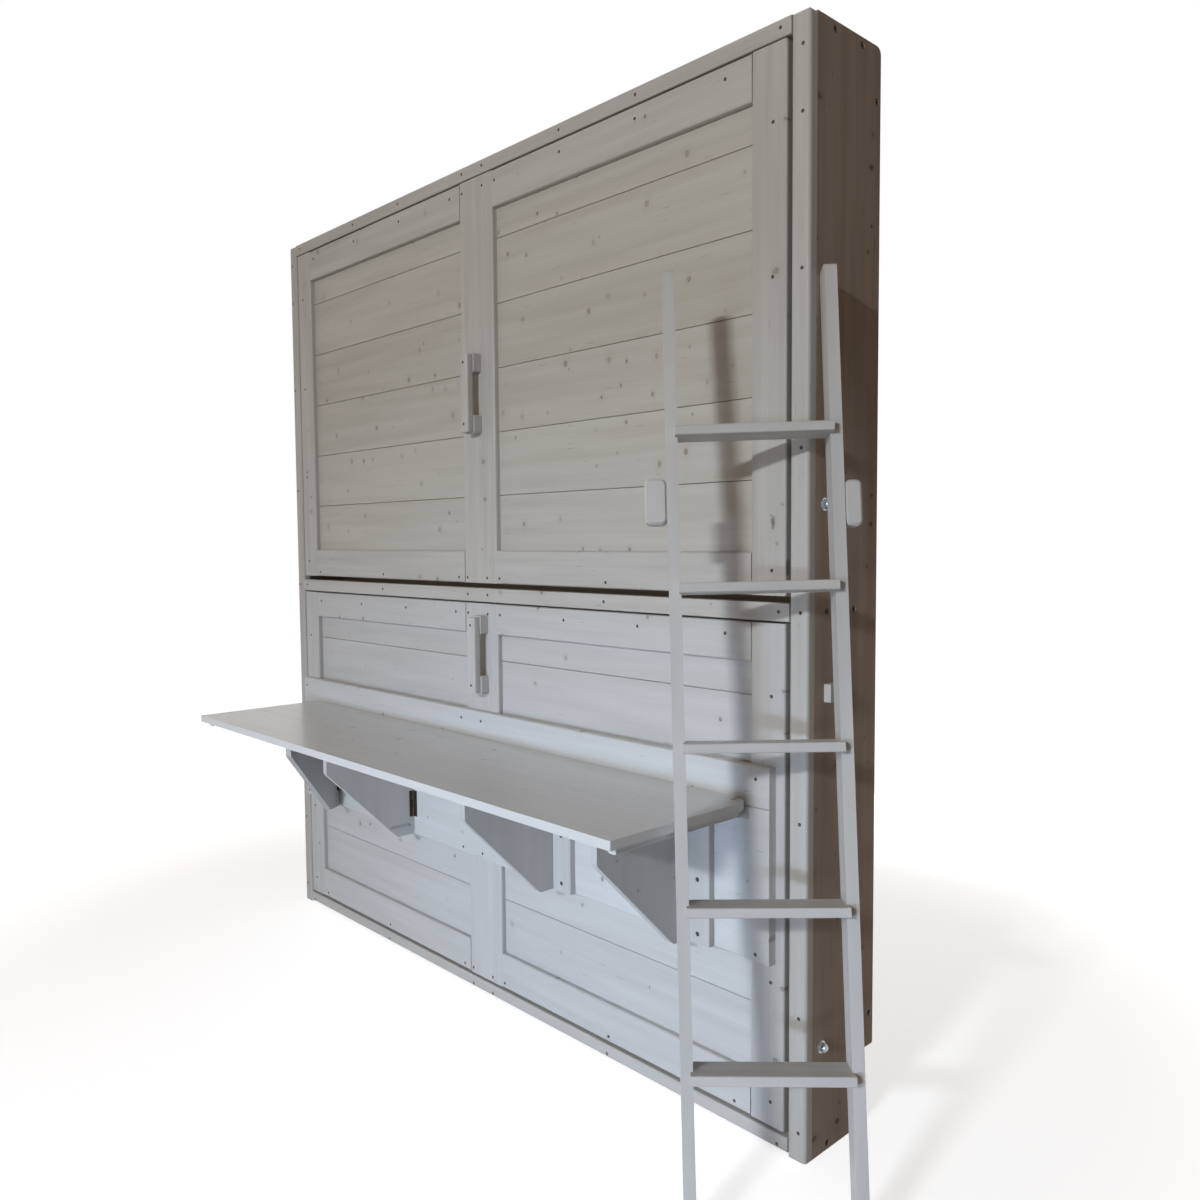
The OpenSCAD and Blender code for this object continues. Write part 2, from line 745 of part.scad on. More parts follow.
function block_mid(b, e) = grip_z[b] + e * (grip_l - block_h) / 2;
function grip_screws(b) = [for (e = [-1, 1]) [grip_x[b], front - grip_gap - grip_t, block_mid(b, e)]];

module grip_bores(b) {
    into_front(grip_screws(b)) screw_shape(grip_screw_l, screw_slack);
}

module handle_bar(b) {
    color("#a5a39c") difference() {
        bar_z([grip_x[b] - grip_w / 2, front - grip_gap - grip_t, grip_z[b] - grip_l / 2 + grip_in],
              [grip_w, grip_t, grip_l - 2 * grip_in], [grip_round, grip_round, 3, 3]);
        grip_bores(b);
    }
}

module handle_blocks(b) {
    color("#a5a39c") difference() {
        for (e = [-1, 1])
            bar_y([grip_x[b] - block_w / 2, front - grip_gap, block_mid(b, e) - block_h / 2],
                  [block_w, grip_gap, block_h], [grip_round, grip_round, grip_round, grip_round]);
        grip_bores(b);
    }
}

// ---- Desk, on the lower bed ----

back_screw_l = 45;
cleat_screw_l = 36;
cleat_head_r = 5.3;
back_screw_end = [15, 35];          // left and right end screws from the boards' ends
back_screw_mid = [-70, 20];
back_screw_up = 16;
back_screw_down = 26;
cleat_screw_up = [24, 144];
back_seam = back_z + back_low_h;
back_screw_x = concat([back_screw_end[0] - back_l / 2], back_screw_mid, [back_l / 2 - back_screw_end[1]]);
function back_screws() = [for (x = back_screw_x, z = [back_z + back_screw_up, back_top - back_screw_down])
    [x, back_y, z]];
function cleat_x(k) = bracket_x[k] - hinge_in[k] * (bracket_t / 2 + cleat_gap + cleat_w / 2);
function cleat_screws() = [for (k = [0:3], d = cleat_screw_up) [cleat_x(k), back_y - cleat_t, back_z + d]];

module desk_bores() {
    into_front(back_screws()) screw_shape(back_screw_l, screw_slack);
    into_front(cleat_screws()) screw_shape(cleat_screw_l, screw_slack, cleat_head_r);
}

module desk_back_boards() {
    color("#a9adac") difference() {
        union() {
            bar_x([-back_l / 2, back_y, back_z], [back_l, back_t, back_low_h - plank_gap / 2], [4, 0, 0, 2]);
            bar_x([-back_l / 2, back_y, back_seam + plank_gap / 2],
                  [back_l, back_t, back_top - back_seam - plank_gap / 2], [2, 0, 0, 6]);
        }
        desk_bores();
    }
}

module desk_cleats() {
    color("#a5a8a6") difference() {
        for (k = [0:3])
            bar_z([cleat_x(k) - cleat_w / 2, back_y - cleat_t, bracket_low],
                  [cleat_w, cleat_t, cleat_top - bracket_low], [3, 3, 0, 0]);
        desk_bores();
    }
}

function hinge_at(k) = [bracket_x[k] + hinge_in[k] * (bracket_t / 2 + pin_off), back_y - pin_off, 0];

// Frame of bracket k's hinge: the pin on Z, the bracket on the side of -X and the open side on +X
module hinge_frame(k) {
    translate(hinge_at(k)) mirror([hinge_in[k] < 0 ? 1 : 0, 0, 0]) children();
}

// Swings bracket k about its hinge, from square to the front towards the middle
module swung(k) {
    translate(hinge_at(k)) rotate([0, 0, hinge_in[k] * turns[k]]) translate(-hinge_at(k)) children();
}

third = hinge_h / 3;
tab = pin_off + 0.6;                // where a leaf clears the other leaf's knuckle

module bracket_hinge_leaves() {
    color("#3a2c24") for (k = [0:3]) hinge_frame(k) for (z = hinge_z) difference() {
        union() {
            translate([tab, pin_off - leaf_t, z]) cube([leaf_w - tab, leaf_t, hinge_h]);
            for (e = [0, 2 * third]) {
                translate([0, pin_off - leaf_t, z + e]) cube([tab + 1, leaf_t, third]);
                translate([0, 0, z + e]) cylinder(h = third, r = pin_off);
            }
        }
        translate([0, 0, z - 1]) cylinder(h = hinge_h + 2, r = pin_r);
    }
}

module bracket_leaves(k) {
    color("#3a2c24") swung(k) hinge_frame(k) for (z = hinge_z) difference() {
        union() {
            translate([-pin_off, -leaf_w, z]) cube([leaf_t, leaf_w - tab, hinge_h]);
            translate([-pin_off, -tab - 1, z + third + knuckle_gap]) cube([leaf_t, tab + 1, third - 2 * knuckle_gap]);
            translate([0, 0, z + third + knuckle_gap]) cylinder(h = third - 2 * knuckle_gap, r = pin_off);
        }
        translate([0, 0, z - 1]) cylinder(h = hinge_h + 2, r = pin_r + pin_play);
    }
}

module hinge_pins() {
    color("#55504a") {
        for (k = [0:3]) hinge_frame(k) for (z = hinge_z) translate([0, 0, z]) cylinder(h = hinge_h, r = pin_r);
        desk_ends() translate([lug_x, desk_pin_y, desk_pin_z]) rotate([0, 90, 0])
            cylinder(h = 2 * lug_t + lug_play, r = desk_pin_r);
    }
}

// The desktop's right end, and its mirror image at the left end
module desk_ends() {
    for (s = [0, 1]) translate([desk_shift, 0, 0]) mirror([s, 0, 0]) children();
}

// Steel lugs on the back boards, in slots of the desktop
module desk_lugs() {
    color("#6d6f70") desk_ends() {
        x = lug_x + lug_t + lug_play;
        low = desk_low - lug_drop;
        difference() {
            union() {
                bar_x([x, desk_pin_y - lug_end, low], [lug_t, back_y - desk_pin_y + lug_end, desk_z - low], [4, 0, 0, 4]);
                translate([x, back_y - lug_t, low]) cube([lug_foot, lug_t, lug_drop - lug_gap]);
            }
            translate([x - 1, desk_pin_y, desk_pin_z]) rotate([0, 90, 0]) cylinder(h = lug_t + 2, r = desk_pin_r);
        }
    }
}

// Steel plates on the slots' inner sides
module desk_end_plates() {
    color("#6d6f70") desk_ends() difference() {
        bar_x([lug_x, desk_back - lug_l, desk_z - lug_h], [lug_t, lug_l, lug_h], [3, 3, 3, 3]);
        translate([lug_x - 1, desk_pin_y, desk_pin_z]) rotate([0, 90, 0])
            cylinder(h = lug_t + 2, r = desk_pin_r + pin_play);
    }
}

desk_edge = 3;                      // rounding of the front corners

module desktop() {
    color("#979592") difference() {
        translate([desk_shift - desk_l / 2, desk_back - desk_d, desk_low]) linear_extrude(desk_t)
            polygon(box_outline(desk_l, desk_d, [desk_edge, desk_edge, desk_round, desk_round]));
        desk_ends() translate([lug_x, desk_back - lug_slot_l, desk_low - 1])
            cube([lug_slot_w, lug_slot_l + 1, desk_t + 2]);
    }
}

module desk_battens() {
    color("#8d8b86") desk_ends()
        bar_y([desk_l / 2 - batten_end - batten_w / 2, desk_back - batten_back - batten_l, desk_low - batten_h],
              [batten_w, batten_l, batten_h], [3, 3, 0, 0]);
}

module bracket(k) {
    p = [[bracket_back, bracket_low + bracket_h], [bracket_back, bracket_low], [bracket_toe, bracket_low],
         [bracket_l, bracket_top - bracket_nose], [bracket_l, bracket_top]];
    color("#a0a29e") swung(k) translate([bracket_x[k] + bracket_t / 2, back_y, 0]) rotate([90, 0, -90])
        linear_extrude(bracket_t) polygon(rounded(p, [2, 10, 14, 16, 8]));
}

module bracket_1() bracket(0);
module bracket_2() bracket(1);
module bracket_3() bracket(2);
module bracket_4() bracket(3);
module bracket_leaves_1() bracket_leaves(0);
module bracket_leaves_2() bracket_leaves(1);
module bracket_leaves_3() bracket_leaves(2);
module bracket_leaves_4() bracket_leaves(3);

// Flat steel hook on the inner face of the second bracket
hook_l = 68;
hook_h = 8;
hook_t = 2.4;
hook_in = 14;                       // from the back boards
hook_up = 26;                       // above the bracket's lower edge

module bracket_hook() {
    color("#b0b3b5") translate([bracket_x[1] + bracket_t / 2, back_y - hook_in - hook_l, bracket_low + hook_up])
        difference() {
            bar_x([0, 0, 0], [hook_t, hook_l, hook_h], [3.5, 3.5, 3.5, 3.5]);
            translate([-1, hook_l - hook_h / 2 - 1, hook_h / 2]) rotate([0, 90, 0]) cylinder(h = hook_t + 2, r = 2);
        }
}

// ---- Ladder ----

// Frame of the ladder: X along the rungs, Z up the rails, Y towards the cabinet
module ladder_frame() {
    translate(ladder_at) rotate([0, 0, ladder_turn]) rotate([-ladder_lean, 0, 0]) rotate([0, -ladder_tilt, 0])
        children();
}

pole_x = [rung_let - pole_t, rung_l - rung_let];

module rungs() {
    r = rung_round;
    for (i = [0:rung_n - 1])
        bar_x([0, 0, i * rung_pitch], [rung_l, rung_d, rung_t], [r, r, r, r]);
}

// Block of height h whose top lies at z, under the whole ladder
module floor_block(h, z) {
    translate([ladder_at.x, ladder_at.y, z - h / 2]) cube([floor_l, floor_l, h], center = true);
}

module poles() {
    for (x = pole_x)
        bar_x([x, pole_set, pole_low], [pole_t, pole_d, pole_top - pole_low], [0, 0, 12, 12]);
}

module ladder_rails() {
    color("#a8a49b") difference() {
        ladder_frame() difference() {
            poles();
            rungs();
        }
        floor_block(floor_cut, foot_t);
    }
}

module ladder_rungs() {
    color("#a8a49b") ladder_frame() rungs();
}

// Block with round corners; its edges are eased all round, as on a pad
module grab_block(at, w) {
    hull() for (e = [0, grab_edge])
        bar_y(at + [e, grab_edge - e, e], [w - 2 * e, grab_d - 2 * (grab_edge - e), grab_h - 2 * e],
              [for (i = [0:3]) grab_round - e]);
}

module ladder_grab_blocks() {
    color("#a8a49b") ladder_frame() {
        grab_block([pole_x[0] - grab_w[0], pole_set, grab_z[0]], grab_w[0]);
        grab_block([pole_x[1] + pole_t, pole_set, grab_z[1]], grab_w[1]);
    }
}

module ladder_feet() {
    color("#2b2b2b") intersection() {
        ladder_frame() poles();
        floor_block(foot_t, foot_t);
    }
}

module upper_planks() planks(0);
module upper_stiles() stiles(0);
module upper_trim_rails() trim_rails(0);
module upper_battens() battens(0);
module upper_frame_rails() frame_rails(0);
module upper_frame_ends() frame_ends(0);
module upper_slats() slats(0);
module upper_mattress() mattress(0);
module upper_straps() straps(0);
module upper_handle_bar() handle_bar(0);
module upper_handle_blocks() handle_blocks(0);
module upper_screws() {
    color("#3c3a38") {
        into_front(panel_screws(0)) screw(panel_screw_l);
        into_front(grip_screws(0)) screw(grip_screw_l);
    }
}

module lower_planks() planks(1);
module lower_stiles() stiles(1);
module lower_trim_rails() trim_rails(1);
module lower_battens() battens(1);
module lower_frame_rails() frame_rails(1);
module lower_frame_ends() frame_ends(1);
module lower_slats() slats(1);
module lower_mattress() mattress(1);
module lower_straps() straps(1);
module lower_handle_bar() handle_bar(1);
module lower_handle_blocks() handle_blocks(1);
module lower_screws() {
    color("#3c3a38") {
        into_front(panel_screws(1)) screw(panel_screw_l);
        into_front(grip_screws(1)) screw(grip_screw_l);
        into_front(back_screws()) screw(back_screw_l);
        into_front(cleat_screws()) screw(cleat_screw_l, cleat_head_r);
    }
}

side_board_left();
side_board_right();
posts();
front_rails();
top_board();
middle_board();
bottom_board();
wall_rail();
stop_pegs();
pivot_bolts();
pivot_spacers();
pivot_nuts();
carcass_bolts();
front_screws();
side_block();
upper_planks();
upper_stiles();
upper_trim_rails();
upper_battens();
upper_frame_rails();
upper_frame_ends();
upper_slats();
upper_mattress();
upper_straps();
upper_handle_bar();
upper_handle_blocks();
upper_screws();
lower_planks();
lower_stiles();
lower_trim_rails();
lower_battens();
lower_frame_rails();
lower_frame_ends();
lower_slats();
lower_mattress();
lower_straps();
lower_handle_bar();
lower_handle_blocks();
lower_screws();
desk_back_boards();
desk_cleats();
bracket_hinge_leaves();
hinge_pins();
desk_lugs();
desktop();
desk_battens();
desk_end_plates();
bracket_1();
bracket_2();
bracket_3();
bracket_4();
bracket_leaves_1();
bracket_leaves_2();
bracket_leaves_3();
bracket_leaves_4();
ladder_rails();
ladder_rungs();
ladder_grab_blocks();
ladder_feet();
bracket_hook();
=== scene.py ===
"""Looks of a wall bed with a fold-down desk, dressed round its packed construction.

Every board, fitting and pad of the construction gets its real finish, and the soft pieces are
modelled here. Lengths are metres in the construction's own frame: X along the wall, Y into the
wall, Z up.
"""

import json
import math

import bmesh
import bpy
import numpy as np
from bpy.props import FloatProperty, FloatVectorProperty, PointerProperty
from mathutils import Matrix, Vector


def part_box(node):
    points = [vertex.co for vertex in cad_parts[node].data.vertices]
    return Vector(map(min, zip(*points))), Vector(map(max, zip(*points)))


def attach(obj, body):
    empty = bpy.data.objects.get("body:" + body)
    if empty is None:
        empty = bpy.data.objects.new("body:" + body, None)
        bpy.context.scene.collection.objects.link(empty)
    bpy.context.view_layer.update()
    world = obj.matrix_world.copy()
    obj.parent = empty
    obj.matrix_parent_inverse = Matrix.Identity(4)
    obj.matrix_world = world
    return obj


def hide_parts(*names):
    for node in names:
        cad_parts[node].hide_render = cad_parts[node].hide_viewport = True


bl_info = {
    "name": "Wall bed finishes",
    "version": (1, 0, 0),
    "blender": (4, 5, 0),
    "location": "View3D > Sidebar > Wall bed",
    "description": "Whitewashed pine, fittings, mattresses and stage of a wall bed with a desk",
    "category": "Object",
}

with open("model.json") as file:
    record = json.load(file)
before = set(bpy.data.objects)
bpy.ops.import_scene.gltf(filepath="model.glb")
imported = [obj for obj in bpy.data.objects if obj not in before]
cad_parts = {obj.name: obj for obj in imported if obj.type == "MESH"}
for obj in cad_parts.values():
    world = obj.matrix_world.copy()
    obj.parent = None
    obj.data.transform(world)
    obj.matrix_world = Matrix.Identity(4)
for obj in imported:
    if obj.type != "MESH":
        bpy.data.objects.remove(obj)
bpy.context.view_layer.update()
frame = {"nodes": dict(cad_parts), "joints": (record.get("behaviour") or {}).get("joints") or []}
NODES = frame["nodes"]
JOINTS = {joint["name"]: joint for joint in frame["joints"]}
X, Y, Z = range(3)
MM = 0.001
FAR = 9.0  # a cell this large holds the whole object, so it divides nothing
WAVE = 0.314  # period in metres of a wave texture at scale 1
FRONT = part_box("posts")[0].y


def linear(code):
    """Linear RGB of an sRGB hex colour: a straight line near black, then a power of 2.4."""
    parts = [int(code[i : i + 2], 16) / 255 for i in (1, 3, 5)]
    return tuple(c / 12.92 if c <= 0.04045 else ((c + 0.055) / 1.055) ** 2.4 for c in parts)


def tint(name, code, text):
    """A colour property whose default is an sRGB hex colour."""
    return FloatVectorProperty(
        name=name, description=text, subtype="COLOR", size=3, min=0, max=1, default=linear(code)
    )


def size(name, value, text):
    """A length property in metres."""
    return FloatProperty(
        name=name, description=text, default=value, min=0, max=10, subtype="DISTANCE", unit="LENGTH"
    )


def power(name, value, text):
    """A lamp's power in watts."""
    return FloatProperty(name=name, description=text, default=value, unit="POWER")


# ---- Settings ----


class WallBedWood(bpy.types.PropertyGroup):
    upper_light: tint("Upper front, light", "#b6b3aa", "Whitewash on the upper bed's front")
    upper_shade: tint("Upper front, grain", "#a7a298", "Late wood that shows through on the upper front")
    # The lower front's two colours are a little lighter and cooler than the upper's, on the same whitewash:
    # painted light of the low windows.
    lower_light: tint("Lower front, light", "#bdbdbb", "Whitewash on the lower bed's front")
    lower_shade: tint("Lower front, grain", "#afada9", "Late wood that shows through on the lower front")
    case_light: tint("Cabinet, light", "#b8b6b1", "Whitewash on the posts and the front rails")
    case_shade: tint("Cabinet, grain", "#a7a39c", "Late wood of the posts and the front rails")
    # The side boards' two colours are darker and browner than the whitewash in front: painted shade of the
    # room's dim right side.
    side_light: tint("Side board, light", "#a89a8c", "Whitewash on the side boards, darkened as painted shade")
    side_shade: tint("Side board, grain", "#968778", "Late wood of the side boards")
    # The desk's two colours are drawn lighter than the whitewash elsewhere: painted light and sheen on its
    # level top.
    desk_light: tint("Desk, light", "#c8cacb", "Whitewash under the desk's lacquer")
    desk_shade: tint("Desk, grain", "#c3c6c6", "Late wood under the desk's lacquer")
    back_light: tint("Back boards, light", "#c4c6c6", "Whitewash on the boards behind the desk")
    back_shade: tint("Back boards, grain", "#b8b9b6", "Late wood of the boards behind the desk")
    # The brackets' two colours are drawn lighter than the whitewash elsewhere: painted light on their faces
    # turned from the window.
    bracket_light: tint("Brackets, light", "#bdbebe", "Whitewash on the brackets")
    bracket_shade: tint("Brackets, grain", "#b4b5b4", "Late wood of the brackets")
    ladder_light: tint("Ladder, light", "#bebdba", "Whitewash on the ladder")
    ladder_shade: tint("Ladder, grain", "#abaaa6", "Late wood of the ladder")
    # The inner boards' two colours are darker and browner than the whitewash outside: a thinner wash, and
    # painted shade inside the cabinet as seen through its gaps.
    inner_light: tint("Inner boards, light", "#a89f91", "Thin wash on the boards inside the cabinet")
    inner_shade: tint("Inner boards, grain", "#93887a", "Late wood of the boards inside the cabinet")
    bare_light: tint("Bare pine, light", "#cdb48c", "Untreated pine of slats, ledges and pegs")
    bare_shade: tint("Bare pine, grain", "#b59468", "Late wood of untreated pine")
    # The side boards' knot colours are darkened with them, as painted shade.
    side_knot_in_painted_shade: tint("Side board's knot", "#4c3c30", "Middle of a knot on the side boards in painted shade")
    side_rim_in_painted_shade: tint("Side board's knot rim", "#36291f", "Bark ring of a knot on the side boards")
    knot_core: tint("Knot", "#857d74", "Middle of a knot under the wash")
    knot_rim: tint("Knot's rim", "#655c52", "Bark ring of a knot")
    knot_strength: FloatProperty(name="Knot strength", description="How much a knot covers", default=0.78)
    knot_spacing: size("Knot spacing", 0.1, "Average distance between two knots")
    big_knot: FloatVectorProperty(
        name="Big knot",
        description="Place of the one big dark knot, on the upper front's right stile",
        subtype="TRANSLATION",
        unit="LENGTH",
        default=(0.985, -0.13, 1.306),
    )
    ring_width: size("Growth ring", 0.0115, "Width of a growth ring on a board's face")
    upper_board: size("Upper board", 0.169, "Height of a front board of the upper bed")
    upper_first: size("Upper top board", 0.172, "Height of the topmost front board of the upper bed")
    lower_board: size("Lower board", 0.1645, "Height of a front board of the lower bed")
    lower_first: size("Lower top board", 0.154, "Height of the topmost front board of the lower bed")
    low_back_board: size("Lower back board", 0.325, "Height of the lower of the boards behind the desk")
    rung_pitch: size("Rung spacing", 0.2961, "Distance between two rungs along the ladder")
    ladder_lean: FloatProperty(
        name="Ladder's lean",
        description="Angle by which the ladder leans towards the cabinet",
        subtype="ANGLE",
        unit="ROTATION",
        default=math.radians(7.05),
    )


class WallBedMetal(bpy.types.PropertyGroup):
    zinc: tint("Zinc-plated steel", "#b9bcc0", "Cap nuts, washers, pivot bolts and the bracket's hook")
    paint: tint("Painted steel", "#b4b5b4", "Lugs and end plates of the desktop, washed white with the wood")
    blackened: tint("Blackened steel", "#151312", "Sunk carcass bolts")
    screw: tint("Screw head", "#5a5048", "Heads of the front screws under a little wash")
    hinge: tint("Brown hinge", "#3a2c24", "Lacquered butt hinges of the brackets")
    rubber: tint("Rubber", "#2b2b2b", "Foot pads of the ladder")


class WallBedSoft(bpy.types.PropertyGroup):
    ticking: tint("Ticking", "#ddd8cc", "Woven cover of the mattresses")
    piping: tint("Piping", "#8d9299", "Piped seam round a mattress")
    webbing: tint("Webbing", "#3e4148", "Straps that hold a mattress")
    corner: size("Corner radius", 0.06, "Rounding of a mattress's corners, seen from above")
    edge: size("Edge radius", 0.026, "Rounding of a mattress's border")
    crown: size("Crown", 0.005, "How far the middle of a mattress stands above its border")
    quilt: size("Quilting", 0.12, "Distance between two stitch lines of the quilting")
    quilt_depth: size("Quilting depth", 0.0035, "Depth of a stitch line")
    pitch: size("Mesh pitch", 0.011, "Distance between two points of a mattress's mesh")
    piping_radius: size("Piping radius", 0.004, "Radius of the piped seam")


class WallBedStage(bpy.types.PropertyGroup):
    window_power: power("Window light", 88, "Power of the far window")
    low_power: power("Low light", 11, "Power of the low windows in front")
    back_power: power("Back light", 26, "Power of the light behind the open back")
    ambient: FloatProperty(name="Ambient", description="Strength of the light from the room", default=0.3)
    daylight: tint("Window light's colour", "#f2f8ff", "Daylight")
    sky: tint("Low light's colour", "#c8e0ff", "Blue light of the sky, from low windows")
    warm: tint("Room light in front", "#ffdfbf", "Warm light from the room")
    brown: tint("Room light on the right", "#9c7656", "Dim brown light from the room's right side")
    floor: tint("Floor", "#dcdcdc", "Plain pale floor")
    camera_place: FloatVectorProperty(
        name="Camera",
        description="Place of the camera",
        subtype="TRANSLATION",
        unit="LENGTH",
        default=(2.217, -1.768, 1.273),
    )
    camera_turn: FloatVectorProperty(
        name="Camera angles",
        description="Turn to the left of the wall's normal, angle below the horizon and roll",
        subtype="EULER",
        unit="ROTATION",
        default=(math.radians(46.66), math.radians(3.45), math.radians(-0.43)),
    )
    focal: FloatProperty(
        name="Focal length",
        description="For a square picture on a 36 mm sensor",
        subtype="DISTANCE_CAMERA",
        default=30.03,
    )


# ---- Materials ----


def add(tree, kind, settings=None, links=None):
    """Adds one shader node with its settings, and a value or a link for each input named or numbered."""
    node = tree.nodes.new("ShaderNode" + kind)
    for name, value in (settings or {}).items():
        setattr(node, name, value)
    for name, value in (links or {}).items():
        if isinstance(value, bpy.types.Node):
            value = value.outputs[0]
        if isinstance(value, bpy.types.NodeSocket):
            tree.links.new(value, node.inputs[name])
        else:
            node.inputs[name].default_value = value
    return node


def new_material(name):
    """An empty node material and its tree."""
    material = bpy.data.materials.new(name)
    material.use_nodes = True
    material.node_tree.nodes.clear()
    return material, material.node_tree


def surface(tree, links):
    """Ends a material in one Principled shader."""
    add(tree, "OutputMaterial", {}, {"Surface": add(tree, "BsdfPrincipled", {}, links)})


def rgba(colour):
    """A colour with full opacity."""
    return (*colour, 1.0)


def stretched_noise(tree, place, spot, detail):
    """Noise with spots of the given size in metres along each axis; 0 keeps it the same along an axis."""
    scale = tuple(1 / s if s else 0.0 for s in spot)
    moved = add(tree, "Mapping", {}, {"Vector": place, "Scale": scale})
    return add(tree, "TexNoise", {}, {"Vector": moved, "Scale": 1.0, "Detail": detail})


def cut(**axes):
    """Cells along the axes named x, y or z, each with a start and a length; the others stay whole."""
    start, cell = [-FAR / 2] * 3, [FAR] * 3
    for name, (first, length) in axes.items():
        start["xyz".index(name)], cell["xyz".index(name)] = first, length
    return {"start": tuple(start), "cell": tuple(cell)}


def grain_place(tree, along, normal, start, cell, turn):
    """Object coordinates with x along the grain, y through the board and z across it.

    Space is cut into cells, one for each board, and each cell's coordinates are shifted by a
    random length, so no two boards carry the same figure.
    """
    place = add(tree, "TexCoord").outputs["Object"]
    if turn is not None:
        place = add(tree, "Mapping", {"vector_type": "TEXTURE"}, {"Vector": place, "Rotation": turn})
    cells = add(tree, "VectorMath", {"operation": "SUBTRACT"}, {0: place, 1: start})
    cells = add(tree, "VectorMath", {"operation": "DIVIDE"}, {0: cells, 1: cell})
    cells = add(tree, "VectorMath", {"operation": "FLOOR"}, {0: cells})
    chance = add(tree, "TexWhiteNoise", {"noise_dimensions": "3D"}, {"Vector": cells})
    links = {0: chance.outputs["Color"], 1: (7.0, 7.0, 7.0), 2: place}
    moved = add(tree, "VectorMath", {"operation": "MULTIPLY_ADD"}, links)
    parts = add(tree, "SeparateXYZ", {}, {0: moved})
    across = X + Y + Z - along - normal
    axes = {0: parts.outputs[along], 1: parts.outputs[normal], 2: parts.outputs[across]}
    return add(tree, "CombineXYZ", {}, axes), chance.outputs["Value"]


def knots(tree, grain, spacing, share):
    """Oval knots on the board's face: how far a point lies in a knot, in its bark ring and near it.

    The face is cut into Voronoi cells. A cell's point is a knot where its random number lies
    under the share, with a radius between 3% and 9% of the spacing; some lie deep under the wash.
    """
    parts = add(tree, "SeparateXYZ", {}, {0: grain})
    face = add(tree, "CombineXYZ", {}, {0: parts.outputs["X"], 1: parts.outputs["Z"]})
    links = {0: face, 1: (1.25 / spacing, 1 / spacing, 0.0)}
    face = add(tree, "VectorMath", {"operation": "MULTIPLY"}, links)
    ragged = add(tree, "TexNoise", {}, {"Vector": face, "Scale": 14.0, "Detail": 1.0})
    links = {0: ragged.outputs["Color"], 1: (0.05, 0.05, 0.0), 2: face}
    ragged = add(tree, "VectorMath", {"operation": "MULTIPLY_ADD"}, links)
    links = {"Vector": ragged, "Scale": 1.0, "Randomness": 1.0}
    cell = add(tree, "TexVoronoi", {"feature": "F1", "voronoi_dimensions": "2D"}, links)
    chance = add(tree, "SeparateColor", {}, {0: cell.outputs["Color"]})
    square = add(tree, "Math", {"operation": "POWER"}, {0: chance.outputs[0], 1: 2.0})
    radius = add(tree, "MapRange", {}, {"Value": square, "To Min": 0.03, "To Max": 0.09})
    reach = add(tree, "Math", {"operation": "DIVIDE"}, {0: cell.outputs["Distance"], 1: radius})
    is_knot = add(tree, "Math", {"operation": "LESS_THAN"}, {0: chance.outputs[1], 1: share})
    inside = {"Value": reach, "From Min": 1.1, "From Max": 0.7, "To Min": 0.0, "To Max": 1.0}
    core = add(tree, "MapRange", {"interpolation_type": "SMOOTHSTEP"}, inside)
    core = add(tree, "Math", {"operation": "MULTIPLY"}, {0: core, 1: is_knot})
    depth = add(tree, "MapRange", {}, {"Value": chance.outputs[2], "To Min": 0.35, "To Max": 1.0})
    core = add(tree, "Math", {"operation": "MULTIPLY"}, {0: core, 1: depth})
    near = {"Value": reach, "From Min": 0.0, "From Max": 0.9, "To Min": 0.25, "To Max": 1.0}
    ring = add(tree, "MapRange", {"interpolation_type": "SMOOTHSTEP"}, near)
    around = {"Value": reach, "From Min": 3.6, "From Max": 0.8, "To Min": 0.0, "To Max": 1.0}
    halo = add(tree, "MapRange", {"interpolation_type": "SMOOTHSTEP"}, around)
    halo = add(tree, "Math", {"operation": "MULTIPLY"}, {0: halo, 1: is_knot})
    return core, ring, halo


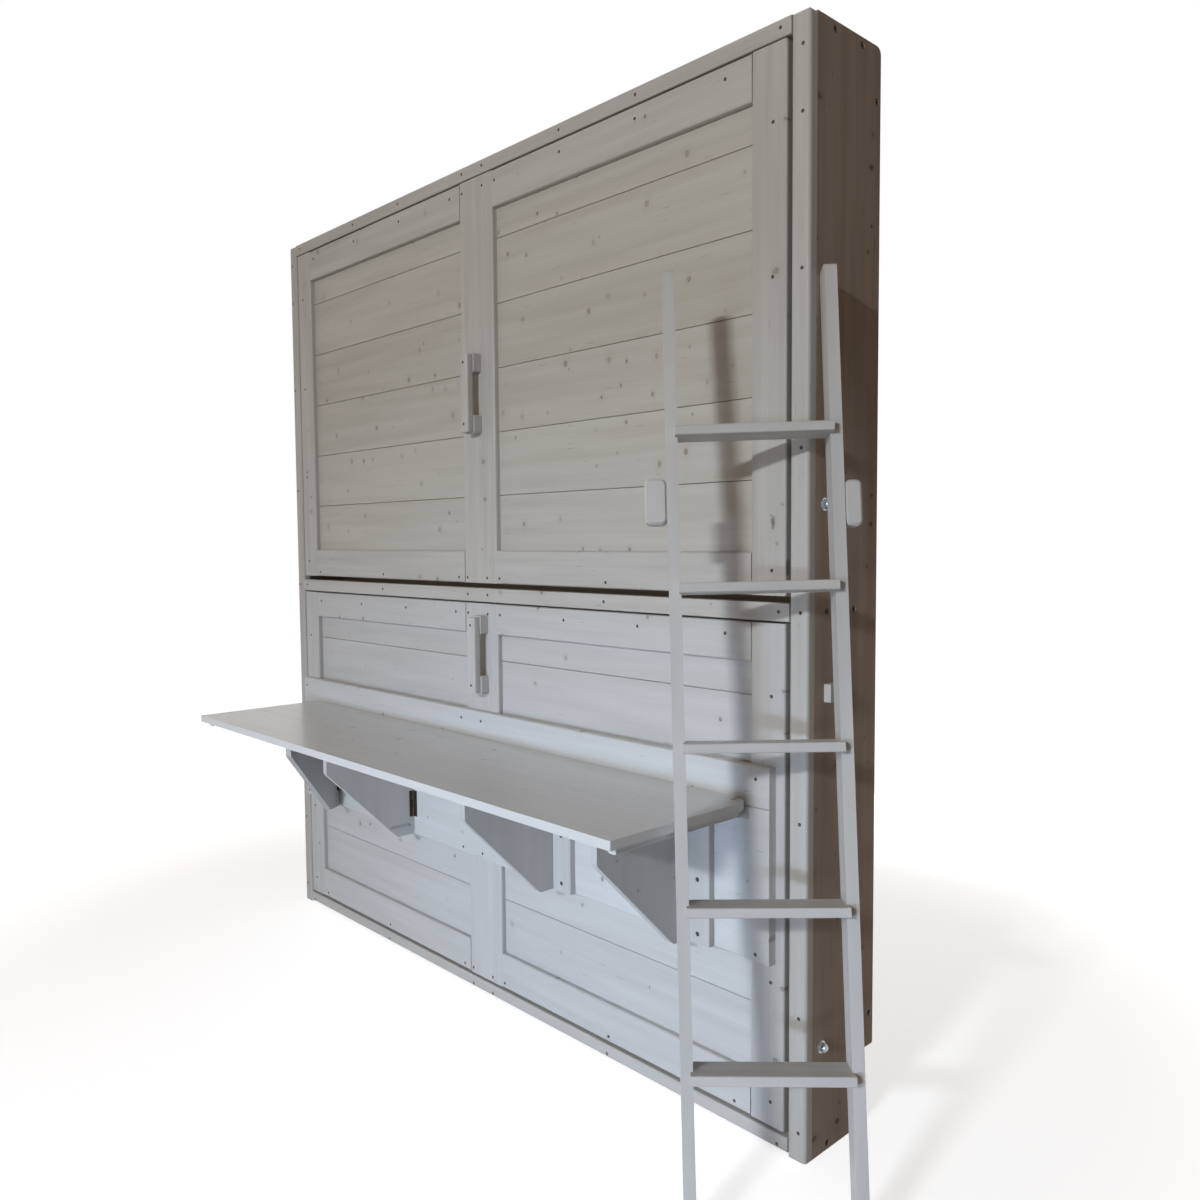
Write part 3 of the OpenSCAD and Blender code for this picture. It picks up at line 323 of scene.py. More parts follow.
def pine(name, light, shade, along=X, normal=Y, start=(-FAR / 2,) * 3, cell=(FAR,) * 3, **more):
    """Planed pine under a thin wash of white, brushed on and rubbed back.

    The eye sees soft bands of late wood, cathedral rings that the wash half hides, small
    grey-brown knots with a dark ring, and short resin streaks. Each board differs a little in
    tone. more: share of knots, their colours, one big knot's place, strength of the rings,
    roughness, gloss, coat of lacquer, bump, turn of the grain.
    """
    wood = bpy.context.scene.wall_bed_wood
    material, tree = new_material(name)
    grain, board = grain_place(tree, along, normal, start, cell, more.get("turn"))

    # soft bands 30 mm wide and half a metre long
    bands = stretched_noise(tree, grain, (0.5, 0.05, 0.03), 2.0)
    # growth rings, drawn out ten times along the grain
    core, ring, halo = knots(tree, grain, wood.knot_spacing, more.get("share", 0.42))
    stretched = add(tree, "Mapping", {}, {"Vector": grain, "Scale": (0.1, 1.0, 1.0)})
    links = {"Vector": stretched, "Scale": WAVE / wood.ring_width, "Distortion": 9.0}
    links.update({"Detail": 1.5, "Detail Scale": 0.9})
    rings = add(tree, "TexWave", {"wave_type": "BANDS", "bands_direction": "Z"}, links)
    # pores, 1.5 mm wide and 40 mm long
    pores = stretched_noise(tree, grain, (0.04, 0.0015, 0.0015), 1.0)

    # the tone runs from the shade to the light colour; around a knot it is darker
    tone = {"Value": bands, "From Min": 0.3, "From Max": 0.7, "To Min": 0.0, "To Max": 1.0}
    tone = add(tree, "MapRange", {}, tone)
    figure = [(board, 0.6), (rings.outputs["Fac"], more.get("rings", 0.14)), (pores, 0.07), (halo, -0.45)]
    for part, amount in figure:
        tone = add(tree, "Math", {"operation": "MULTIPLY_ADD"}, {0: part, 1: amount, 2: tone})
    tone = add(tree, "MapRange", {}, {"Value": tone, "From Min": 0.0, "From Max": 1.5})
    links = {"Factor": tone.outputs[0], 6: rgba(shade), 7: rgba(light)}
    colour = add(tree, "Mix", {"data_type": "RGBA"}, links).outputs[2]

    # resin streaks, 2.5 mm wide and 60 mm long, then the knots, go over the wood's colour
    streaks = stretched_noise(tree, grain, (0.06, 0.0, 0.0025), 0.0)
    links = {"Value": streaks, "From Min": 0.8, "From Max": 0.86, "To Max": 0.6}
    streaks = add(tree, "MapRange", {}, links).outputs[0]
    rim = rgba(more.get("knot_rim", wood.knot_rim))
    links = {"Factor": ring.outputs[0], 6: rgba(more.get("knot_core", wood.knot_core)), 7: rim}
    knot = add(tree, "Mix", {"data_type": "RGBA"}, links).outputs[2]
    strength = add(tree, "Math", {"operation": "MULTIPLY"}, {0: core, 1: wood.knot_strength})
    layers = [(streaks, rim), (strength.outputs[0], knot)]
    if "big_knot" in more:
        layers.append((ragged_spot(tree, more["big_knot"]), rim))
    for cover, paint in layers:
        links = {"Factor": cover, 6: colour, 7: paint}
        colour = add(tree, "Mix", {"data_type": "RGBA"}, links).outputs[2]

    rough = more.get("rough", 0.5)
    rough = add(tree, "MapRange", {}, {"Value": tone, "To Min": rough + 0.08, "To Max": rough - 0.04})
    height = add(tree, "Math", {"operation": "MULTIPLY_ADD"}, {0: core, 1: 0.8, 2: pores})
    links = {"Height": height, "Strength": more.get("bump", 0.09), "Distance": 0.5 * MM}
    bump = add(tree, "Bump", {}, links)
    shader = {"Base Color": colour, "Roughness": rough, "Normal": bump}
    shader.update({"IOR": 1.5, "Specular IOR Level": more.get("gloss", 0.3)})
    if "coat" in more:
        shader.update({"Coat Weight": more["coat"], "Coat Roughness": 0.22})
    surface(tree, shader)
    return material


def ragged_spot(tree, centre):
    """How far a point of the front lies in one dark knot, 22 mm wide and 40 mm high, with a ragged edge."""
    place = add(tree, "TexCoord").outputs["Object"]
    shift = add(tree, "VectorMath", {"operation": "SUBTRACT"}, {0: place, 1: centre})
    links = {0: shift, 1: (1 / 0.011, 0.0, 1 / 0.02)}
    shift = add(tree, "VectorMath", {"operation": "MULTIPLY"}, links)
    ragged = add(tree, "TexNoise", {}, {"Vector": place, "Scale": 1 / 0.009, "Detail": 2.0})
    reach = add(tree, "VectorMath", {"operation": "LENGTH"}, {0: shift}).outputs["Value"]
    reach = add(tree, "Math", {"operation": "MULTIPLY_ADD"}, {0: ragged, 1: 2.4, 2: reach})
    inside = {"Value": reach, "From Min": 2.1, "From Max": 1.2, "To Min": 0.0, "To Max": 0.85}
    return add(tree, "MapRange", {"interpolation_type": "SMOOTHSTEP"}, inside).outputs[0]


def steel(name, colour, rough=0.32, metallic=1.0):
    """Steel fittings, pressed or turned and then plated or painted.

    The eye sees dull highlights that break up in faint scratches.
    """
    material, tree = new_material(name)
    place = add(tree, "TexCoord").outputs["Object"]
    # blotches of the plating, 3 mm across, and scratches 0.4 mm wide, drawn coarser than real ones
    blotches = add(tree, "TexNoise", {}, {"Vector": place, "Scale": 1 / (3 * MM), "Detail": 3.0})
    scratches = stretched_noise(tree, place, (0.4 * MM, 0.4 * MM, 6 * MM), 1.0)
    dark = rgba([c * 0.72 for c in colour])
    links = {"Factor": blotches.outputs[0], 6: dark, 7: rgba(colour)}
    mixed = add(tree, "Mix", {"data_type": "RGBA"}, links).outputs[2]
    links = {"Value": blotches, "To Min": rough - 0.06, "To Max": rough + 0.12}
    roughness = add(tree, "MapRange", {}, links)
    bump = add(tree, "Bump", {}, {"Height": scratches, "Strength": 0.12, "Distance": 0.1 * MM})
    surface(tree, {"Base Color": mixed, "Metallic": metallic, "Roughness": roughness, "Normal": bump})
    return material


def rubber(name, colour):
    """Moulded rubber: matt and almost black, with a fine pebbled skin."""
    material, tree = new_material(name)
    place = add(tree, "TexCoord").outputs["Object"]
    pebbles = add(tree, "TexVoronoi", {}, {"Vector": place, "Scale": 1 / (1.2 * MM)})
    links = {"Factor": pebbles.outputs["Distance"], 6: rgba(colour), 7: rgba([c * 1.5 for c in colour])}
    mixed = add(tree, "Mix", {"data_type": "RGBA"}, links).outputs[2]
    links = {"Height": pebbles.outputs["Distance"], "Strength": 0.3, "Distance": 0.2 * MM}
    bump = add(tree, "Bump", {}, links)
    surface(tree, {"Base Color": mixed, "Roughness": 0.8, "Normal": bump})
    return material


def woven(name, colour, thread, depth=0.25, contrast=0.12):
    """Woven cloth: two sets of threads cross, each a row of waves, and small slubs break them up.

    Threads of mattress ticking are about 0.5 mm apart; they are drawn wider, so that they show.
    """
    material, tree = new_material(name)
    place = add(tree, "TexCoord").outputs["Object"]
    links = {"Vector": place, "Scale": WAVE / thread, "Distortion": 0.6, "Detail Scale": 0.3}
    warp = add(tree, "TexWave", {"bands_direction": "X"}, links)
    weft = add(tree, "TexWave", {"bands_direction": "Z"}, links)
    weave = add(tree, "Math", {"operation": "MULTIPLY"}, {0: warp.outputs["Fac"], 1: weft.outputs["Fac"]})
    slubs = add(tree, "TexNoise", {}, {"Vector": place, "Scale": 1 / (9 * MM), "Detail": 3.0})
    mixed = add(tree, "Math", {"operation": "MULTIPLY_ADD"}, {0: slubs, 1: 0.9, 2: weave})
    dark = rgba([c * (1 - 2 * contrast) for c in colour])
    shade = add(tree, "MapRange", {}, {"Value": mixed, "From Min": 0.2, "From Max": 1.3})
    links = {"Factor": shade.outputs[0], 6: dark, 7: rgba(colour)}
    cloth = add(tree, "Mix", {"data_type": "RGBA"}, links).outputs[2]
    bump = add(tree, "Bump", {}, {"Height": weave, "Strength": depth, "Distance": thread / 3})
    shader = {"Base Color": cloth, "Roughness": 0.9, "Normal": bump}
    shader.update({"Sheen Weight": 0.25, "Sheen Roughness": 0.5})
    surface(tree, shader)
    return material


def dress(material, *names):
    """Puts a material in every slot of the named nodes."""
    for name in names:
        for slot in NODES[name].material_slots:
            slot.material = material


# ---- Meshes ----


def mesh_piece(name, points, faces, material, body, slot):
    """A smooth mesh object that stands in place, rides on a body and takes the given material."""
    mesh = bpy.data.meshes.new(name)
    mesh.from_pydata(points.tolist(), [], faces.tolist())
    mesh.polygons.foreach_set("use_smooth", np.ones(len(mesh.polygons), bool))
    mesh.materials.append(material)
    mesh.update()
    piece = bpy.data.objects.new(name, mesh)
    bpy.context.scene.collection.objects.link(piece)
    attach(piece, body)
    return piece


def grid_faces(rows, columns, close_rows=False, close_columns=True):
    """Quads of a grid of points stored row by row; a closed direction joins its ends."""
    i = np.arange(rows if close_rows else rows - 1)[:, None]
    j = np.arange(columns if close_columns else columns - 1)[None, :]
    up, right = (i + 1) % rows, (j + 1) % columns
    corners = [i * columns + j, i * columns + right, up * columns + right, up * columns + j]
    return np.stack([np.broadcast_to(c, (i.size, j.size)) for c in corners], -1).reshape(-1, 4)


def round_outline(half_x, half_z, radius, pitch):
    """Points round a rectangle with round corners, and the outward normal at each.

    A straight side is walked at an even pitch, and a corner is a quarter circle. All insets share
    one set of parameters: unit places on the inner rectangle, and the angle of the normal.
    """
    side_x = max(2, round(2 * (half_x - radius) / pitch))
    side_z = max(2, round(2 * (half_z - radius) / pitch))
    turn = max(4, round(math.pi / 2 * radius / pitch) + 2)
    runs = []
    for quarter, count in enumerate((side_z, side_x, side_z, side_x)):
        angle = quarter * math.pi / 2
        along, edge = np.linspace(-1, 1, count, endpoint=False), np.ones(count)
        sides = [(edge, along), (-along, edge), (-edge, -along), (along, -edge)]
        runs.append((*sides[quarter], np.full(count, angle)))
        one = np.ones(turn)
        corners = [(one, one), (-one, one), (-one, -one), (one, -one)]
        around = np.linspace(angle, angle + math.pi / 2, turn, endpoint=False)
        runs.append((*corners[quarter], around))
    u, v, angle = (np.concatenate(part) for part in zip(*runs))
    return u, v, np.cos(angle), np.sin(angle)


def mattress_mesh(low, high, soft):
    """A foam mattress in a quilted cover.

    Rings of a rounded rectangle climb from the middle of the under side, round a border that is
    drawn in at its waist, to the middle of the upper side. A ring's inset and height follow the
    border's profile, a half round at each edge. The upper side then rises by
    crown (1 - x^2)(1 - z^2), and is pressed down along two crossing sets of stitch lines by
    depth (1 - |sin sin|)^3.
    """
    centre = (np.array(low) + np.array(high)) / 2
    half_x, thick, half_z = (high.x - low.x) / 2, high.y - low.y, (high.z - low.z) / 2
    border = thick - soft.crown
    u, v, nx, nz = round_outline(half_x, half_z, soft.corner, soft.pitch)
    lanes = max(8, round((half_z - soft.edge) / soft.pitch))
    inner = np.linspace(half_z, soft.edge, lanes, endpoint=False)
    arc = np.linspace(0, math.pi / 2, 7)
    inset = np.concatenate([inner, soft.edge * (1 - np.sin(arc))])
    rise = np.concatenate([np.zeros(lanes), soft.edge * (1 - np.cos(arc))])
    waist = np.linspace(-1, 1, 9)[1:-1]
    inset = np.concatenate([inset, 3 * MM * (1 - waist**2), inset[::-1]])
    level = soft.edge + (border - 2 * soft.edge) * (1 + waist) / 2
    rise = np.concatenate([rise, level, border - rise[::-1]])
    reach_x = np.maximum(half_x - np.maximum(inset, soft.corner), 0)
    reach_z = np.maximum(half_z - np.maximum(inset, soft.corner), 0)
    radius = np.maximum(soft.corner - inset, 0)
    x = reach_x[:, None] * u + radius[:, None] * nx
    z = reach_z[:, None] * v + radius[:, None] * nz
    domed = (1 - np.minimum((x / half_x) ** 2, 1)) * (1 - np.minimum((z / half_z) ** 2, 1))
    phase = math.pi / soft.quilt
    stitched = np.abs(np.sin(phase * (x + z)) * np.sin(phase * (x - z)))
    upper = np.clip((rise[:, None] / border - 0.5) * 2, 0, 1) ** 4
    fade = np.clip((np.minimum(half_x - abs(x), half_z - abs(z)) - soft.edge) / 0.03, 0, 1)
    pressed = soft.quilt_depth * fade * (1 - stitched) ** 3
    y = rise[:, None] + upper * (soft.crown * domed - pressed)
    points = np.stack([x + centre[0], y + low.y, z + centre[2]], -1)
    faces = grid_faces(len(inset), len(u))
    return points.reshape(-1, 3), faces


def closed_tube(path, radius, sides=8):
    """A tube round a closed path in a plane of constant Y: a circle in the normal and Y directions."""
    step = np.roll(path, -1, 0) - np.roll(path, 1, 0)
    step /= np.linalg.norm(step, axis=1)[:, None]
    out = np.stack([step[:, 2], np.zeros(len(path)), -step[:, 0]], -1)
    angle = np.linspace(0, 2 * math.pi, sides, endpoint=False)
    round_way = np.cos(angle)[None, :, None] * out[:, None, :]
    rise = np.sin(angle)[None, :, None] * np.array([0.0, 1.0, 0.0])
    points = path[:, None, :] + radius * (round_way + rise)
    return points.reshape(-1, 3), grid_faces(len(path), sides, close_rows=True)


def joined(parts):
    """Two meshes of points and faces as one."""
    (points, faces), (more_points, more_faces) = parts
    return np.concatenate([points, more_points]), np.concatenate([faces, more_faces + len(points)])


def band_mesh(low, high, sag):
    """A flat strap along Z: a grid whose Y bows by sag (1 - z^2) and whose edges curl by a hair."""
    u = np.linspace(-1, 1, 9)
    v = np.linspace(-1, 1, 90)
    zz, xx = np.meshgrid(v, u, indexing="ij")
    x = (low.x + high.x) / 2 + xx * (high.x - low.x) / 2
    z = (low.z + high.z) / 2 + zz * (high.z - low.z) / 2
    ripple = 0.15 * MM * np.sin(37 * zz) * np.sin(5 * zz + 2 * xx)
    y = low.y + sag * (1 - zz**2) - 0.1 * MM * xx**4 + ripple
    points = np.stack([x, y, z], -1).reshape(-1, 3)
    return points, grid_faces(len(v), len(u), close_columns=False)


# ---- Operators ----


class WALLBED_OT_cabinet(bpy.types.Operator):
    """Finish the cabinet: posts, rails, side boards and the boards inside"""

    bl_idname = "wallbed.cabinet"
    bl_label = "Cabinet"

    def execute(self, context):
        wood = context.scene.wall_bed_wood
        case = (wood.case_light, wood.case_shade)
        # The darker inner colours paint part of the shade inside the cabinet.
        inner = (wood.inner_light, wood.inner_shade)
        side = (wood.side_light, wood.side_shade)
        bare = (wood.bare_light, wood.bare_shade)
        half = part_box("posts")[1].x
        two = cut(x=(-half, half))
        dress(pine("Whitewashed pine, corner posts", *case, along=Z, share=0.2, **two), "posts")
        rows = cut(z=(-0.2, 0.5))
        dress(pine("Whitewashed pine, front rails", *case, share=0.3, **rows), "front_rails")
        # The side boards' darker, browner colours and knots paint the shade on faces turned from the window;
        # the roughness and low gloss are the matt wash.
        matt_and_painted_shade = {"rough": 0.62, "gloss": 0.1, "knot_core": wood.side_knot_in_painted_shade, "knot_rim": wood.side_rim_in_painted_shade}
        name = "Whitewashed pine, side boards in painted shade"
        sides = pine(name, *side, along=Z, normal=X, **two, **matt_and_painted_shade)
        dress(sides, "side_board_left", "side_board_right")
        boards = pine("Washed pine, boards inside", *inner, normal=Z, rough=0.6)
        dress(boards, "top_board", "middle_board", "bottom_board")
        dress(pine("Washed pine, wall rail", *inner, rough=0.6), "wall_rail")
        dress(pine("Bare pine, stop pegs", *bare, normal=Z, share=0.0), "stop_pegs")
        dress(pine("Washed pine, side block", *case, along=Z, normal=X, share=0.0), "side_block")
        return {"FINISHED"}


class WALLBED_OT_fronts(bpy.types.Operator):
    """Finish the two bed fronts: boards, stiles, rails and handles"""

    bl_idname = "wallbed.fronts"
    bl_label = "Bed fronts"

    def execute(self, context):
        wood = context.scene.wall_bed_wood
        for bed in ("upper", "lower"):
            low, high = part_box(f"{bed}_planks")
            board, first = getattr(wood, f"{bed}_board"), getattr(wood, f"{bed}_first")
            # The lower bed's lighter, cooler colours paint the light of the low windows.
            colours = (getattr(wood, f"{bed}_light"), getattr(wood, f"{bed}_shade"))
            trim = (wood.case_light, wood.case_shade) if bed == "upper" else colours
            knotty = 0.55 if bed == "upper" else 0.3
            spot = {"big_knot": wood.big_knot} if bed == "upper" else {}
            word = f"Whitewashed pine, {bed} front"
            base = high.z - first
            base -= board * math.ceil((base - low.z) / board)
            cells = cut(z=(base, board))
            dress(pine(f"{word} boards", *colours, share=knotty, **cells), f"{bed}_planks")
            cells = cut(x=(low.x - 0.03, 0.7))
            stiles = pine(f"{word} stiles", *trim, along=Z, share=0.3, **cells, **spot)
            dress(stiles, f"{bed}_stiles")
            cells = cut(x=(low.x, high.x), z=(low.z, 0.6))
            dress(pine(f"{word} rails", *trim, share=0.3, **cells), f"{bed}_trim_rails")
            grips = pine(f"{word} handle", *trim, along=Z, share=0.1, rough=0.42)
            dress(grips, f"{bed}_handle_bar", f"{bed}_handle_blocks")
        return {"FINISHED"}


class WALLBED_OT_bed_frames(bpy.types.Operator):
    """Finish the bed frames behind the fronts: battens, frame boards and slats"""

    bl_idname = "wallbed.bed_frames"
    bl_label = "Bed frames"

    def execute(self, context):
        wood = context.scene.wall_bed_wood
        # The darker inner colours paint part of the shade inside the bed frames.
        inner = (wood.inner_light, wood.inner_shade)
        bare = (wood.bare_light, wood.bare_shade)
        for bed in ("upper", "lower"):
            low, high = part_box(f"{bed}_frame_rails")
            word = f"Planed pine, {bed}"
            rows = cut(z=(low.z - 0.1, 0.3))
            boards = pine(f"{word} frame boards", *inner, normal=Z, rough=0.58, **rows)
            dress(boards, f"{bed}_frame_rails")
            dress(pine(f"{word} battens", *inner, rough=0.6, **rows), f"{bed}_battens")
            ends = pine(f"{word} frame ends", *inner, along=Z, normal=X, **cut(x=(low.x, high.x)))
            dress(ends, f"{bed}_frame_ends")
            low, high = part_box(f"{bed}_slats")
            count = 13
            pitch = (high.x - low.x) / (count - 0.5)
            cells = cut(x=(low.x - pitch / 4, pitch))
            slats = pine(f"Bare pine, {bed} slats", *bare, along=Z, rough=0.6, **cells)
            dress(slats, f"{bed}_slats")
        return {"FINISHED"}


class WALLBED_OT_desk(bpy.types.Operator):
    """Finish the desk: lacquered top, back boards, cleats and brackets"""

    bl_idname = "wallbed.desk"
    bl_label = "Desk"

    def execute(self, context):
        wood = context.scene.wall_bed_wood
        # The desk's lighter colours paint the light and sheen on its level top; the battens share them.
        desk = (wood.desk_light, wood.desk_shade)
        lower = (wood.lower_light, wood.lower_shade)
        boards = (wood.back_light, wood.back_shade)
        bracket_colours_with_painted_light = (wood.bracket_light, wood.bracket_shade)
        satin = {"rough": 0.34, "gloss": 0.5, "rings": 0.05, "coat": 0.4}
        name = "Whitewashed pine under satin lacquer, desktop"
        dress(pine(name, *desk, normal=Z, share=0.15, **satin), "desktop")
        name = "Whitewashed pine, desk battens"
        battens = pine(name, *desk, along=Y, normal=Z, share=0.1, **cut(x=(-2, 2)))
        dress(battens, "desk_battens")
        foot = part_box("desk_back_boards")[0].z - 0.5 * MM
        name = "Whitewashed pine, desk back boards"
        rows = cut(z=(foot, wood.low_back_board))
        dress(pine(name, *boards, share=0.4, **rows), "desk_back_boards")
        cleats = pine("Whitewashed pine, cleats", *lower, along=Z, share=0.1, **cut(x=(-1, 0.4)))
        dress(cleats, "desk_cleats")
        # The lighter bracket colours paint the light on faces turned from the window.
        cells = cut(x=(-FAR / 2, 0.45))
        name = "Whitewashed pine, brackets with painted light"
        brackets = pine(name, *bracket_colours_with_painted_light, along=Z, normal=X, share=0.5, rings=0.05, **cells)
        dress(brackets, *(f"bracket_{k}" for k in range(1, 5)))
        return {"FINISHED"}


class WALLBED_OT_ladder(bpy.types.Operator):
    """Finish the ladder: rails, rungs, grab blocks and foot pads"""

    bl_idname = "wallbed.ladder"
    bl_label = "Ladder"

    def execute(self, context):
        wood = context.scene.wall_bed_wood
        axis = Vector(JOINTS["ladder_tip"]["axis"])
        turn = Matrix.Rotation(math.atan2(axis.y, axis.x), 3, "Z")
        turn = turn @ Matrix.Rotation(-wood.ladder_lean, 3, "X")
        angles = turn.to_euler("XYZ")
        low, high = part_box("ladder_rungs")
        foot = turn.inverted() @ ((low + high) / 2)
        ladder = (wood.ladder_light, wood.ladder_shade)
        smooth = {"share": 0.15, "rough": 0.42, "bump": 0.04, "turn": angles}
        name = "Whitewashed pine, ladder rails"
        rails = pine(name, *ladder, along=Z, normal=X, **cut(x=(foot.x - 1, 1)), **smooth)
        dress(rails, "ladder_rails", "ladder_grab_blocks")
        rows = cut(z=(foot.z - 2.5 * wood.rung_pitch, wood.rung_pitch))
        rungs = pine("Whitewashed pine, rungs", *ladder, normal=Z, **rows, **smooth)
        dress(rungs, "ladder_rungs")
        dress(rubber("Moulded rubber", context.scene.wall_bed_metal.rubber), "ladder_feet")
        return {"FINISHED"}


class WALLBED_OT_fittings(bpy.types.Operator):
    """Finish the metal: bolts, nuts, screws, hinges, lugs and the bracket's hook"""

    bl_idname = "wallbed.fittings"
    bl_label = "Fittings"

    def execute(self, context):
        metal = context.scene.wall_bed_metal
        zinc = steel("Zinc-plated steel", metal.zinc)
        dress(zinc, "pivot_bolts", "pivot_nuts", "pivot_spacers", "bracket_hook")
        dress(steel("Steel under white paint", metal.paint, 0.45, 0.0), "desk_lugs", "desk_end_plates")
        dress(steel("Blackened steel, sunk bolts", metal.blackened, 0.75, 0.0), "carcass_bolts")
        heads = steel("Blackened steel, screw heads", metal.screw, 0.5, 0.6)
        dress(heads, "front_screws", "upper_screws", "lower_screws")
        brown = steel("Brown lacquered steel, hinges", metal.hinge, 0.4, 0.2)
        leaves = [f"bracket_leaves_{k}" for k in range(1, 5)]
        dress(brown, "bracket_hinge_leaves", "hinge_pins", *leaves)
        return {"FINISHED"}


class WALLBED_OT_mattresses(bpy.types.Operator):
    """Model the two mattresses, their piped seams and the straps that hold them"""

    bl_idname = "wallbed.mattresses"
    bl_label = "Mattresses"

    def execute(self, context):
        soft = context.scene.wall_bed_soft
        ticking = woven("Woven cotton ticking", soft.ticking, 2.2 * MM)
        seam = woven("Bias-cut piping", soft.piping, 1.6 * MM)
        webbing = woven("Polypropylene webbing", soft.webbing, 2.4 * MM, depth=0.5, contrast=0.25)
        for bed in ("upper", "lower"):
            low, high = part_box(f"{bed}_mattress")
            mesh, name = mattress_mesh(low, high, soft), f"{bed}_mattress_cover"
            cover = mesh_piece(name, *mesh, ticking, f"{bed}_bed", "mattress_fabric")
            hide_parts(f"{bed}_mattress")
            merge_and_face_out(cover)
            self.piping(bed, low, high, soft, seam)
            self.straps(bed, webbing)
        return {"FINISHED"}

    def piping(self, bed, low, high, soft, material):
        """Two tubes round the border, sunk by half into it where the cover's panels meet."""
        half_x, half_z = (high.x - low.x) / 2, (high.z - low.z) / 2
        u, v, nx, nz = round_outline(half_x, half_z, soft.corner, soft.pitch)
        back = soft.edge * (1 - math.sqrt(0.5))
        radius = soft.corner - back
        x = (half_x - soft.corner) * u + radius * nx
        z = (half_z - soft.corner) * v + radius * nz + (low.z + high.z) / 2
        parts = []
        for y in (low.y + back, high.y - soft.crown - back):
            path = np.stack([x, np.full_like(x, y), z], -1)
            parts.append(closed_tube(path, soft.piping_radius))
        mesh, name = joined(parts), f"{bed}_mattress_piping"
        piece = mesh_piece(name, *mesh, material, f"{bed}_bed", "mattress_fabric")
        merge_and_face_out(piece)

    def straps(self, bed, material):
        """Two bands of webbing across the mattress, each a thin strip that bows a little."""
        low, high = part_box(f"{bed}_straps")
        width = 50 * MM
        parts = []
        for left in (low.x, high.x - width):
            corners = Vector((left, low.y, low.z)), Vector((left + width, high.y, high.z))
            parts.append(band_mesh(*corners, 1.5 * MM))
        piece = mesh_piece(f"{bed}_strap_webbing", *joined(parts), material, f"{bed}_bed", "webbing")
        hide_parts(f"{bed}_straps")
        solid = piece.modifiers.new("Thickness", "SOLIDIFY")
        solid.thickness = 1.4 * MM
        solid.offset = 0


def merge_and_face_out(piece):
    """Merges doubled points at a shape's middle and turns every face outwards."""
    made = bmesh.new()
    made.from_mesh(piece.data)
    bmesh.ops.remove_doubles(made, verts=made.verts, dist=1e-5)
    bmesh.ops.recalc_face_normals(made, faces=made.faces)
    made.to_mesh(piece.data)
    made.free()
    piece.data.polygons.foreach_set("use_smooth", np.ones(len(piece.data.polygons), bool))


